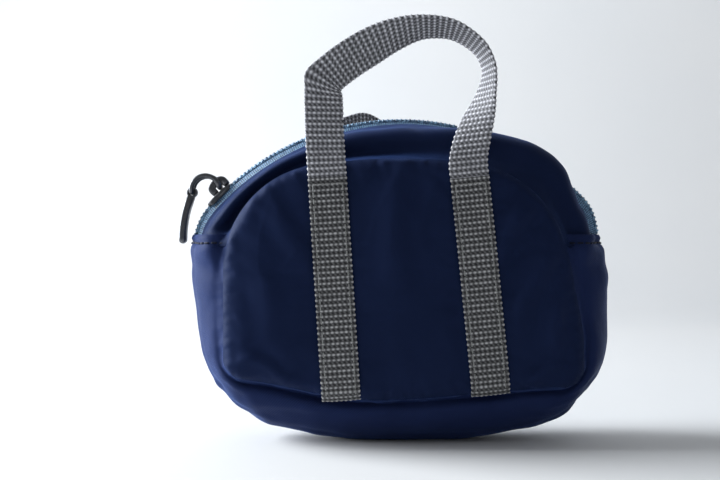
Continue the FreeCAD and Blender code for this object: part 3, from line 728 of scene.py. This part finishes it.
def panel_piece(name, side):
    obj = subdivided(cut(name, lambda kind: kind == side))

    def amount(co):
        away = to_seam(co[:, [0, 2]])
        z = co[:, 2]
        loose = smooth(away / 7) * (1 - 0.7 * under_leg(co, 5.0))
        ridge = 0.12 * bump(away, 1.0, 1.0)
        low = 1 + 1.2 * smooth((24 - z) / 8)
        gathers = 0.28 * swell(co * (1, 1, 0.25), 5, 1.0, 6.6) * smooth((z - 60) / 14) * smooth(away / 2)
        drawn = 1.35 * drawn_folds(co) * smooth(away / 2.5) * (1 - 0.5 * under_leg(co, 5.0))
        return (pucker(co, away, 5.0, 0.3) * low * smooth(away / 0.8) + ridge + gathers + drawn
                + (hanging_folds(co, 9.3 + side) + swell(co, 22, 0.35, 9.3) + swell(co, 7.5, 0.14, 2.1)) * loose)
    crumple(obj, amount)
    return obj


def strip_piece(name, side):
    lip = CURVE_CELLS + 2

    def wanted(kind):
        if not isinstance(kind, tuple):
            return False
        i, j = kind
        near = j < lip if side < 0 else j >= ACROSS - 1 - lip
        return near and min(SEAM[i][1], SEAM[(i + 1) % STATIONS][1]) > 44

    obj = subdivided(cut(name, wanted))

    def amount(co):
        away = from_seam(co)
        lip_calm = smooth((np.abs(co[:, 1]) - LIP_Y) / 3)
        crumples = pucker(co, away, 3.0, 0.24) * smooth(away / 0.8)
        return (crumples + swell(co, 11, 0.5, 5.5) * smooth(away / 4)) * lip_calm
    crumple(obj, amount)
    sliced(obj, STRIP_FOOT, True)
    return obj


def gusset_piece(name):
    obj = subdivided(cut(name, lambda kind: isinstance(kind, tuple) and CROWN[kind[0]][1] < 64))
    # The gusset takes the lighter copy of the nylon: painted light.
    obj.data.materials[0] = NYLON_SIDE_PAINTED_LIGHT

    def amount(co):
        away = from_seam(co)
        z = co[:, 2]
        hem = smooth((z - 47) / 5)
        fold = 0.5 * bump(z, HEM_TOP - 1.1, 1.6) - 0.3 * bump(z, HEM_STITCH, 0.9)
        calm = smooth(away / 5) * smooth(z / 6) * (1 - 0.6 * hem)
        soft = (swell(co, 15, 0.6, 3.3) + swell(co, 6, 0.22, 8.8)) * calm
        low = smooth((26 - z) / 12)
        gathered = 0.8 * swell(co * (1, 0.35, 0.35), 6.5, 1.0, 4.7) * low * np.exp(-away / 7) * smooth(away / 1.5)
        rolled = 0.5 * swell(co * (0.28, 1, 1), 3.4, 1.0, 2.9) * low * smooth(away / 2) * smooth(z / 3)
        sunk = 0.7 * smooth((z - 44) / 6) * bump(away, 1.6, 1.8)
        return (gathered + pucker(co, away, 4.0, 0.36) * smooth(away / 0.8) + soft + rolled - sunk
                + hem * (0.95 + fold) * smooth((away - 1.0) / 4.5))
    crumple(obj, amount)
    sliced(obj, HEM_TOP, False)
    co = coordinates(obj)
    co[:, 2] = np.maximum(co[:, 2], 0.0)
    return set_coordinates(obj, co)


def surface_tree(obj):
    return BVHTree.FromObject(obj, bpy.context.evaluated_depsgraph_get())


def surface_y(tree, side, x, z):
    """y of the fabric met from the front (side -1) or the back (side 1)."""
    hit = tree.ray_cast(Vector((x * MM, side * 0.06, z * MM)), Vector((0, -side, 0)))[0]
    return None if hit is None else hit.y / MM


WORD = {-1: "front", 1: "back"}
TREES = {}


def fold_with_mouth(obj):
    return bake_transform(obj)


for SIDE in (-1, 1):
    panel = panel_piece(WORD[SIDE] + "_panel", SIDE)
    TREES[SIDE] = surface_tree(panel)
    thickened(panel, 0.6)
    strip = thickened(strip_piece(WORD[SIDE] + "_zip_strip_fabric", SIDE), 0.6)
    for piece, nodes in ((panel, ("panel_lower", "panel_fold", "panel_upper")), (strip, ("zip_strip",))):
        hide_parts(*[WORD[SIDE] + "_" + node for node in nodes])
        fold_with_mouth(piece)
gusset = gusset_piece("gusset")
GUSSET_TREE = surface_tree(gusset)
thickened(gusset, 0.8)
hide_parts("lower_gusset")
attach(gusset, "case")


# ---- webbing
def curve_through(knots, per_span):
    """Catmull-Rom through rows of numbers."""
    knots = np.asarray(knots, float)
    padded = np.vstack([2 * knots[0] - knots[1], knots, 2 * knots[-1] - knots[-2]])
    rows = []
    for a, b, c, d in zip(padded, padded[1:], padded[2:], padded[3:]):
        for i in range(per_span):
            t = i / per_span
            bend, turn = 2 * a - 5 * b + 4 * c - d, 3 * b - a - 3 * c + d
            rows.append(0.5 * (2 * b + (c - a) * t + bend * t ** 2 + turn * t ** 3))
    return np.vstack(rows + [knots[-1:]])


def weave_relief(u, v):
    """Height of the woven surface in millimetres, u along and v across the webbing."""
    row = 0.5 + 0.5 * np.cos(2 * pi * u / PICK)
    dot = row ** 1.8 * (0.64 + 0.36 * np.cos(2 * pi * v / DOT))
    between = (1 - row) ** 2 * (0.5 - 0.5 * np.cos(2 * pi * v / DOT))
    return 0.27 * dot + 0.08 * between


def strap(name, rows, u0=0.0, material=None, sewn=False):
    """Webbing through rows of (x, y, z, across x, y, z, width share); across points the same way all along."""
    rows, run = evenly(rows, PICK / 5)
    centre, across, share = rows[:, :3], rows[:, 3:6], rows[:, 6]
    across = unit(across)
    normal = unit(np.cross(across, unit(np.gradient(centre, axis=0))))
    v = np.linspace(-1, 1, 37)
    u = run + u0
    edge = 1 - 0.5 * np.abs(v) ** 10
    scallop = 1 + 0.022 * np.cos(2 * pi * u / PICK)[:, None] * (np.abs(v) > 0.9)
    wide = v[None, :] * (STRAP_W / 2) * share[:, None] * scallop
    stitch = 0.14 * smooth(1 - np.abs(np.abs(v) * STRAP_W / 2 - LOCK_LINE) / 0.5)[None, :] if sewn else 0.0
    relief = weave_relief(u[:, None], v[None, :] * STRAP_W / 2) * edge - stitch
    half = (STRAP_T / 2 - 0.2) * edge
    flat = centre[:, None] + across[:, None] * wide[..., None]
    rise = normal[:, None] * (half + relief)[..., None]
    ring = np.concatenate([flat + rise, (flat - rise)[:, ::-1]], axis=1)
    faces = []
    tube(faces, 0, len(ring), ring.shape[1])
    uv_v = np.concatenate([v, v[::-1]]) * STRAP_W / 2
    uv = [(a, b) for a in u for b in uv_v]
    obj = mesh_object(name, ring.reshape(-1, 3), faces, material or WEBBING, uv)
    return outward(obj), run[-1]


def leg_rows(name):
    """A sewn leg from its tucked-in foot up to the hinge line, lying on its panel."""
    side, _, lean = LEGS[name]
    foot = SEAM_BASE + seam_lift(leg_x(name, SEAM_BASE)) - 0.2
    heights = np.linspace(foot, HINGE_Z, 60)
    ys = []
    for z in heights:
        met = [surface_y(TREES[side], side, leg_x(name, z) + dx, z) for dx in (-4, -2, 0, 2, 4)]
        met = [side * y for y in met if y is not None]
        ys.append(np.mean(sorted(met)[-3:]) if met else SEAM_Y)
    ys = np.convolve(np.pad(ys, 3, mode="edge"), np.ones(7) / 7, mode="valid")
    ys[:3] = np.linspace(SEAM_Y + 0.2, ys[3], 3)
    tilt = radians(lean)
    return np.array([(leg_x(name, z), side * (y + STRAP_T / 2 - 0.12), z, cos(tilt), 0, -sin(tilt), 1)
                     for z, y in zip(heights, ys)])


STITCH_SIDES = 7


def capsule(points, faces, start, end, radius):
    """Adds one rounded stitch to a growing mesh."""
    a, b = np.array(start, float), np.array(end, float)
    forward = unit(b - a)
    aside = unit(np.cross(forward, (0.31, 0.87, 0.38)))
    other = np.cross(forward, aside)
    first = len(points)
    profile = ((a - forward * radius * 0.6, 0.35), (a, 0.85), (a + (b - a) * 0.25, 1.0), (a + (b - a) * 0.75, 1.0),
               (b, 0.85), (b + forward * radius * 0.6, 0.35))
    for centre, share in profile:
        for k in range(STITCH_SIDES):
            t = 2 * pi * k / STITCH_SIDES
            points.append(centre + radius * share * (aside * cos(t) + other * sin(t)))
    tube(faces, first, len(profile), STITCH_SIDES)


LEG_ENDS = {}
LEG_RUN = {}
for NAME, (SIDE, _, _) in LEGS.items():
    rows = leg_rows(NAME)
    leg, LEG_RUN[NAME] = strap(NAME, rows, sewn=True)
    LEG_ENDS[NAME] = rows[-1]
    points, faces = [], []
    fine, run = evenly(rows, 1.7)
    for row, ahead in zip(fine[1:], fine[2:]):
        if ahead[2] > 69.5:
            break
        for hand in (-1, 1):
            lift = np.array((0, SIDE * (STRAP_T / 2 - 0.02), 0))
            spot = row[:3] + row[3:6] * hand * LOCK_LINE + lift
            step = ahead[:3] + row[3:6] * hand * LOCK_LINE + lift
            capsule(points, faces, spot + (step - spot) * 0.1, spot + (step - spot) * 0.78, 0.19)
    top = fine[-2]
    for k in range(5):
        start = top[:3] + top[3:6] * (k * 1.6 - 3.8) + np.array((0, SIDE * (STRAP_T / 2 + 0.03), 0))
        capsule(points, faces, start, start + top[3:6] * 1.1, 0.19)
    thread = outward(mesh_object(NAME + "_stitching", points, faces, GREY_THREAD))
    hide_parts(*[NAME + "_" + band for band in ("lower", "fold", "upper")])
    for piece in (leg, thread):
        fold_with_mouth(piece)


def loop_rows(knots):
    """Loop rows from knots of (x, y, z, tilt of the width in XZ, twist towards Y, width share)."""
    rows = []
    for x, y, z, tilt, twist, share in curve_through(knots, 10):
        tilt, twist = radians(tilt), radians(twist)
        outer = (cos(tilt) * cos(twist), sin(twist), sin(tilt) * cos(twist))
        rows.append((x, y, z, -outer[0], -outer[1], -outer[2], share))
    return np.array(rows)


# The front loop rises from the left leg, folds sharply over to the right and leans forward as it arches, so that its
# underside shows, then twists back as it comes down to the right leg.
LEFT, RIGHT = LEG_ENDS["front_webbing_left"], LEG_ENDS["front_webbing_right"]
FRONT_LOOP = (
    (LEFT[0], LEFT[1], HINGE_Z, 180 + 3.6, 0, 1.0),
    (-20.2, -21.2, 81.0, 180, 0, 1.0),
    (-20.5, -21.2, 90.0, 178, 0, 1.0),
    (-20.6, -21.3, 93.4, 168, 0, 1.0),
    (-20.7, -21.4, 95.4, 151, 0, 1.05),
    (-18.8, -21.1, 97.5, 131, -2, 1.0),
    (-14.7, -21.0, 100.7, 122, -10, 1.0),
    (-9.4, -20.9, 104.1, 118, -20, 1.0),
    (-2.7, -20.8, 107.5, 108, -42, 1.0),
    (4.3, -20.7, 109.6, 102, -61, 1.0),
    (10.9, -20.6, 109.5, 88, -69, 1.0),
    (15.5, -20.6, 107.8, 64, -74, 1.0),
    (20.0, -20.6, 104.2, 40, -77, 1.0),
    (22.1, -20.7, 99.9, 12, -77, 1.0),
    (22.2, -20.9, 96.2, 0, -73, 1.0),
    (21.0, -21.0, 91.2, 4, -60, 1.0),
    (19.2, -21.1, 85.7, 6, -34, 1.0),
    (17.7, -21.2, 80.0, 6, -14, 1.0),
    (16.9, -21.2, 75.0, 6, -2, 1.0),
    (RIGHT[0], RIGHT[1], HINGE_Z, 5.8, 0, 1.0),
)
loop, _ = strap("front_handle_webbing", loop_rows(FRONT_LOOP), LEG_RUN["front_webbing_left"], LOOP_WEBBING_PAINTED_LIGHT)
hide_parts("front_handle_loop")
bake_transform(loop)


def back_loop_rows():
    """The back loop: the same arch, flopped over backwards, with one flank standing a little prouder."""
    hinge_y = LEG_ENDS["back_webbing_left"][1]
    rows = []
    for k in range(161):
        t = k / 160
        if t < 0.17:
            x, up, twist, tilt = -18.6 - 1.6 * smooth(t / 0.17), 22 * t / 0.17, 22 * smooth(t / 0.17), 180
        elif t > 0.83:
            s = (1 - t) / 0.17
            x, up, twist, tilt = 18.6 + 1.6 * smooth(s), 22 * s, 22 * smooth(s), 0
        else:
            a = pi * (t - 0.17) / 0.66
            x, up = -20.2 * cos(a), 22 + 19.5 * sin(a)
            twist, tilt = 22 + 68 * smooth(sin(a) * 1.15), 180 - degrees(a)
        lean = radians(back_lean(x)) * smooth(up / 7)
        tilt, twist = radians(tilt), radians(twist)
        outer = (cos(tilt) * cos(twist), -sin(twist), sin(tilt) * cos(twist))
        y, z = hinge_y + up * sin(lean), HINGE_Z + up * cos(lean)
        across = (outer[0], outer[1] * cos(lean) + outer[2] * sin(lean),
                  outer[2] * cos(lean) - outer[1] * sin(lean))
        rows.append((x, y, z, *across, 1.0))
    return np.array(rows)


def back_lean(x):
    return 58 + 12 * smooth((x + 12) / 16)


loop, _ = strap("back_handle_webbing", back_loop_rows(), LEG_RUN["back_webbing_left"], LOOP_WEBBING_PAINTED_LIGHT)
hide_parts("back_handle_loop")
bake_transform(loop)


# ---- zip coil and tapes
ZIP_END = 11.5
TOOTH = 1.22


def zip_path(radius):
    """(x, z, outward x, outward z) from the left end of the zip over the top to the right end, at even steps."""
    rows = []
    meet = degrees(atan2(SHOULDER[1] - ZIP_Z, SHOULDER[0]))
    bend = SHOULDER_R - (ARCH_R - radius)
    for (x, z), r, start, end, count in ((SHOULDER, bend, ZIP_END, meet, 60), ((0, ZIP_Z), radius, meet, 90, 300)):
        for k in range(count):
            t = radians(start + (end - start) * k / count)
            rows.append((x + r * cos(t), z + r * sin(t), cos(t), sin(t)))
    right = np.array(rows)
    left = right * (-1, 1, -1, 1)
    path = np.vstack([left, [(0, ZIP_Z + radius, 0, 1)], right[::-1]])
    path[:, 0] -= tuck(path[:, 0], path[:, 1])
    return path, run_along(path[:, :2])


PATH, PATH_RUN = zip_path(ARCH_R - 0.1)


def on_path(at):
    return np.array([np.interp(at, PATH_RUN, PATH[:, k]) for k in range(4)])


def wire(points, faces, line, radius, sides, closed=False):
    """Adds a round wire along a line of points, radius one number or one a point."""
    line = np.asarray(line, float)
    count = len(line)
    radii = np.broadcast_to(radius, count)
    forward = unit(np.roll(line, -1, axis=0) - np.roll(line, 1, axis=0) if closed else np.gradient(line, axis=0))
    aside = np.cross(forward[0], (0.13, 0.21, 0.97))
    first = len(points)
    for p, f, r in zip(line, forward, radii):
        aside = unit(aside - f * (aside @ f))
        other = np.cross(f, aside)
        turns = np.arange(sides) * 2 * pi / sides
        points.extend(p + r * (aside * cos(t) + other * sin(t)) for t in turns)
    tube(faces, first, count, sides, closed)


TOOTH_LINE = ((1.75, -0.3), (1.2, 0.08), (0.4, 0.12), (-0.12, 0.0), (-0.36, -0.35), (-0.12, -0.7), (0.4, -0.85),
              (1.2, -0.85), (1.75, -0.75))
TOOTH_WIRE = (0.3, 0.36, 0.36, 0.38, 0.38, 0.36, 0.32, 0.3, 0.28)


def coil_piece(name, side):
    """One side of the coil: a row of bent monofilament loops, each leaning a little as the coil winds."""
    points, faces = [], []
    count = int(PATH_RUN[-1] / TOOTH)
    for k in range(count):
        at = (k + (0.25 if side < 0 else 0.75)) * TOOTH
        line = []
        for n, (y, up) in enumerate(TOOTH_LINE):
            x, z, out_x, out_z = on_path(at + 0.3 * TOOTH * (n / 8 - 0.5))
            line.append((x + out_x * up, side * y, z + out_z * up))
        wire(points, faces, line, TOOTH_WIRE, 7)
    for y, up, thick in ((1.72, -0.42, 0.2), (1.5, -1.15, 0.2)):
        rows = [on_path(at) for at in np.arange(0.3, PATH_RUN[-1] - 0.3, 0.8)]
        line = [(x + out_x * up, side * y, z + out_z * up) for x, z, out_x, out_z in rows]
        wire(points, faces, line, thick, 6)
    return outward(mesh_object(name, points, faces, COIL))


# The tape's section: y, depth below the zip's path, and the share of the lip's drop that is added to it.
TAPE_SECTION = ((1.15, 0.52, 0.0), (1.7, 0.48, 0.0), (2.3, 0.52, 0.22), (2.9, 0.6, 0.5), (3.6, 0.85, 0.85),
                (4.6, 1.25, 1.0), (5.8, 1.7, 1.0), (7.0, 2.1, 1.0))


def tape_piece(name, side):
    """The woven tape: from under the coil out and down beneath the fabric's edge."""
    runs = np.arange(0, PATH_RUN[-1], 0.62)
    points, uv = [], []
    for run in runs:
        x, z, out_x, out_z = on_path(run)
        drop = float(lip_drop(degrees(atan2(x, z - ZIP_Z))))
        for y, depth, share in TAPE_SECTION:
            down = depth + share * drop
            points.append((x - out_x * down, side * y, z - out_z * down))
            uv.append((run, y * 1.2))
    faces = grid_faces(len(runs), len(TAPE_SECTION))
    if side > 0:
        faces = [f[::-1] for f in faces]
    return thickened(subdivided(mesh_object(name, points, faces, TAPE, uv)), 0.42)


for SIDE in (-1, 1):
    for piece, node, slot in ((coil_piece(WORD[SIDE] + "_coil_teeth", SIDE), "_zip_coil", "zip_coil"),
                              (tape_piece(WORD[SIDE] + "_tape", SIDE), "_zip_tape", "zip_tape")):
        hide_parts(WORD[SIDE] + node)
        fold_with_mouth(piece)


# ---- slider, link and pull tab
SLIDER_REST = -45.4
BRIDGE_EYE = np.array((-49.79, 69.08))
TAB_EYE = np.array((-57.47, 67.73))
TAB_LEAN = 12.5


def on_zip(t, y, r):
    """A point t along the zip from the slider's middle, y across and r from the zip's centre."""
    turn = radians(SLIDER_REST) + t / 69.0
    return (r * sin(turn), y, ZIP_Z + r * cos(turn))


def slab(points, faces, shape, low, high, edge):
    """A plate on the zip with rounded edges: shape is its outline in (t, y), low and high are its faces' r."""
    shape = np.asarray(shape, float)
    middle = shape.mean(0)
    first = len(points)
    rings = ((0.55, low), (0.9, low), (0.975, low + edge * 0.3), (1.0, low + edge), (1.0, high - edge),
             (0.975, high - edge * 0.3), (0.9, high), (0.55, high))
    for share, r in rings:
        points.extend(on_zip(t, y, r) for t, y in middle + (shape - middle) * share)
    tube(faces, first, len(rings), len(shape))


def rounded(corners, cut_back):
    """Cuts each corner of an outline back to two points."""
    corners = np.asarray(corners, float)
    made = []
    for before, at, after in zip(np.roll(corners, 1, axis=0), corners, np.roll(corners, -1, axis=0)):
        for other in (before, after):
            gap = other - at
            made.append(at + gap * min(0.45, cut_back / np.linalg.norm(gap)))
    return made


def ribbon(points, faces, line, half_wide, half_thick):
    """A bar of rounded rectangular section along a line in XZ, its width along Y."""
    line = np.asarray(line, float)
    forward = unit(np.gradient(line, axis=0))
    wide = np.broadcast_to(half_wide, len(line))
    thick = np.broadcast_to(half_thick, len(line))
    section = ((1, 0.45), (0.93, 0.86), (0.72, 1), (-0.72, 1), (-0.93, 0.86), (-1, 0.45), (-1, -0.45), (-0.93, -0.86),
               (-0.72, -1), (0.72, -1), (0.93, -0.86), (1, -0.45))
    first = len(points)
    for p, f, w, h in zip(line, forward, wide, thick):
        points.extend((p[0] - f[1] * h * b, w * a, p[1] + f[0] * h * b) for a, b in section)
    tube(faces, first, len(line), len(section))


# One of the slider's side rails: (t, y) along and across the zip, as in on_zip.
RAIL = ((-3.3, 2.95), (0.2, 2.7), (3.6, 1.95), (3.5, 1.55), (0.1, 2.25), (-3.2, 2.5))


def metal_piece(name, points, faces):
    return subdivided(outward(mesh_object(name, points, faces, METAL)))


def slider_piece():
    points, faces = [], []
    plate = rounded(((-4.15, 1.9), (-3.2, 3.0), (0.2, 2.75), (3.6, 1.95), (4.15, 1.2),
                     (4.15, -1.2), (3.6, -1.95), (0.2, -2.75), (-3.2, -3.0), (-4.15, -1.9)), 0.5)
    slab(points, faces, plate, 69.65, 70.75, 0.35)
    slab(points, faces, plate, 67.25, 67.95, 0.25)
    for hand in (-1, 1):
        rail = [(t, y * hand) for t, y in RAIL]
        slab(points, faces, rounded(rail, 0.12), 69.3, 70.5, 0.15)
        slab(points, faces, rounded(rail, 0.12), 67.6, 68.5, 0.15)
    wedge = rounded(((-4.0, 0.0), (-3.2, 0.75), (-1.8, 0.0), (-3.2, -0.75)), 0.25)
    slab(points, faces, wedge, 67.6, 70.4, 0.1)
    turns = [pi * k / 24 for k in range(25)]
    arch = [on_zip(1.57 - 1.97 * cos(t), 0, 70.4 + 2.97 * sin(t) ** 0.25)[::2] for t in turns]
    ribbon(points, faces, arch, 1.2, 1.0)
    return metal_piece("zip_slider", points, faces)


def link_piece():
    """A closed wire: two bowed sides joined by a bar through the bridge and a bar through the tab's eye."""
    middle = (BRIDGE_EYE + TAB_EYE) / 2
    half = (BRIDGE_EYE - TAB_EYE) / 2
    out = np.array((-half[1], half[0]))
    bow = [middle + half * cos(t) + out * sin(t) for t in np.linspace(0, pi, 17)]
    width = 2.15
    line = [(BRIDGE_EYE[0], y, BRIDGE_EYE[1]) for y in (-1.2, 0.0, 1.2)]
    line += [(p[0], width - 0.35 * (k in (0, 16)), p[1]) for k, p in enumerate(bow)]
    line += [(TAB_EYE[0], y, TAB_EYE[1]) for y in (1.2, 0.0, -1.2)]
    line += [(p[0], -width + 0.35 * (k in (0, 16)), p[1]) for k, p in reversed(list(enumerate(bow)))]
    points, faces = [], []
    wire(points, faces, line, 0.73, 12, closed=True)
    return metal_piece("zip_pull_link", points, faces)


EYE_SECTION = ((-1.3, 1.0), (-1.3, 1.4), (-1.15, 1.52), (1.15, 1.52), (1.3, 1.4), (1.3, 1.0), (1.15, 0.78),
               (-1.15, 0.78))
EYE_SIDES = 20


def tab_piece():
    """A long flat tab with a barrel eye, slightly bowed, hanging a little outwards."""
    lean = radians(TAB_LEAN)
    down = np.array((-sin(lean), -cos(lean)))
    out = np.array((-cos(lean), sin(lean)))
    line, wide, thick = [], [], []
    for k in range(29):
        s = k / 28
        bow = 0.55 * sin(pi * s) - 0.55 * s * s
        line.append(TAB_EYE + down * (0.8 + 13.6 * s) + out * bow)
        end = sqrt(max(0.0, 1 - max(0.0, (s - 0.93) / 0.07) ** 2))
        wide.append(max(0.35, (1.3 + 0.9 * smooth(s / 0.2)) * (0.35 + 0.65 * end)))
        thick.append(max(0.2, (1.12 - 0.12 * smooth(s / 0.3)) * (0.3 + 0.7 * end)))
    points, faces = [], []
    ribbon(points, faces, line, np.array(wide), np.array(thick))
    first = len(points)
    for y, radius in EYE_SECTION:
        points.extend((TAB_EYE[0] + radius * cos(t), y, TAB_EYE[1] + radius * sin(t))
                      for t in np.linspace(0, 2 * pi, EYE_SIDES, endpoint=False))
    tube(faces, first, len(EYE_SECTION), EYE_SIDES, closed=True)
    return metal_piece("zip_pull_tab", points, faces)


for piece, body, nodes in ((slider_piece(), "slider", ("slider_body", "slider_bridge")),
                           (link_piece(), "link", ("pull_link",)), (tab_piece(), "tab", ("pull_tab",))):
    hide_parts(*nodes)
    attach(piece, body)


# ---- hem stitching
def hem_stitches(name, hand):
    """Even stitches round the end of the case, just below the top of the hem."""
    line = []
    for turn in np.radians(np.arange(-66, 66.1, 1.0)):
        out = Vector((hand * cos(turn), sin(turn), 0))
        middle = Vector((hand * 36 * MM, 0, HEM_STITCH * MM))
        hit, normal, _, away = GUSSET_TREE.ray_cast(middle + out * 0.05, -out)
        if hit is not None and away < 0.04:
            line.append(np.array(hit) / MM + np.array(normal) * 0.2)
    line = np.array(line)
    run = run_along(line)

    def at(s):
        return np.array([np.interp(s, run, line[:, k]) for k in range(3)])

    points, faces = [], []
    for s in np.arange(0.9, run[-1] - 2.0, HEM_PITCH):
        capsule(points, faces, at(s), at(s + 1.25), 0.27)
    piece = outward(mesh_object(name, points, faces, NAVY_THREAD))
    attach(piece, "case")


hem_stitches("hem_stitching_left", -1)
hem_stitches("hem_stitching_right", 1)


# ---- floor, light and camera
def floor_and_backdrop():
    """A pale sweep: level under the case, curving up far behind it."""
    profile = [(-1500, 0), (-600, 0), (0, 0), (500, 0)]
    profile += [(500 + 500 * sin(t), 500 - 500 * cos(t)) for t in np.linspace(0.1, pi / 2, 14)]
    profile += [(1000, 1500)]
    points = [(x, y, z) for y, z in profile for x in (-1800, -600, 600, 1800)]
    n = Nodes("pale_floor", (0.72, 0.72, 0.73), 0.8)
    n.to("Base Color", n.ramp(n.noise(n.place(), 3.0, 2.0), [(0.3, (0.7, 0.71, 0.72)), (0.7, (0.74, 0.74, 0.74))]))
    sweep = mesh_object("floor_sweep", points, grid_faces(len(profile), 4), n.material)


def area_light(name, place, aim, size, power, colour):
    light = bpy.data.lights.new(name, "AREA")
    light.shape = "RECTANGLE"
    light.size, light.size_y = size
    light.energy = power
    light.color = colour
    lamp = linked(name, light)
    lamp.location = place
    lamp.rotation_euler = (Vector(aim) - Vector(place)).to_track_quat("-Z", "Y").to_euler()


floor_and_backdrop()
CASE_MIDDLE = (0, 0, 0.045)
area_light("window", (-0.82, 0.16, 0.34), CASE_MIDDLE, (0.5, 0.6), 25.0, (0.92, 0.96, 1.0))
area_light("fill", (-0.25, -0.9, 0.8), CASE_MIDDLE, (0.9, 0.6), 0.6, (1.0, 0.98, 0.96))
area_light("backdrop", (0.0, 0.62, 0.9), (0, 1.2, 0.1), (1.2, 0.4), 1.5, (0.97, 0.98, 1.0))
world = bpy.data.worlds.new("studio")
world.use_nodes = True
sky = world.node_tree.nodes["Background"]
sky.inputs["Color"].default_value = (0.86, 0.9, 0.95, 1)
sky.inputs["Strength"].default_value = 0.3
SCENE.world = world
SCENE.view_settings.view_transform = "Standard"

lens = bpy.data.cameras.new("camera")
lens.lens = 58
lens.sensor_width = 36
lens.clip_start = 0.01
camera = linked("camera", lens)
camera.location = (-0.0111, -0.321, 0.0546)
camera.rotation_euler = (pi / 2, 0, 0)
bpy.context.scene.camera = camera
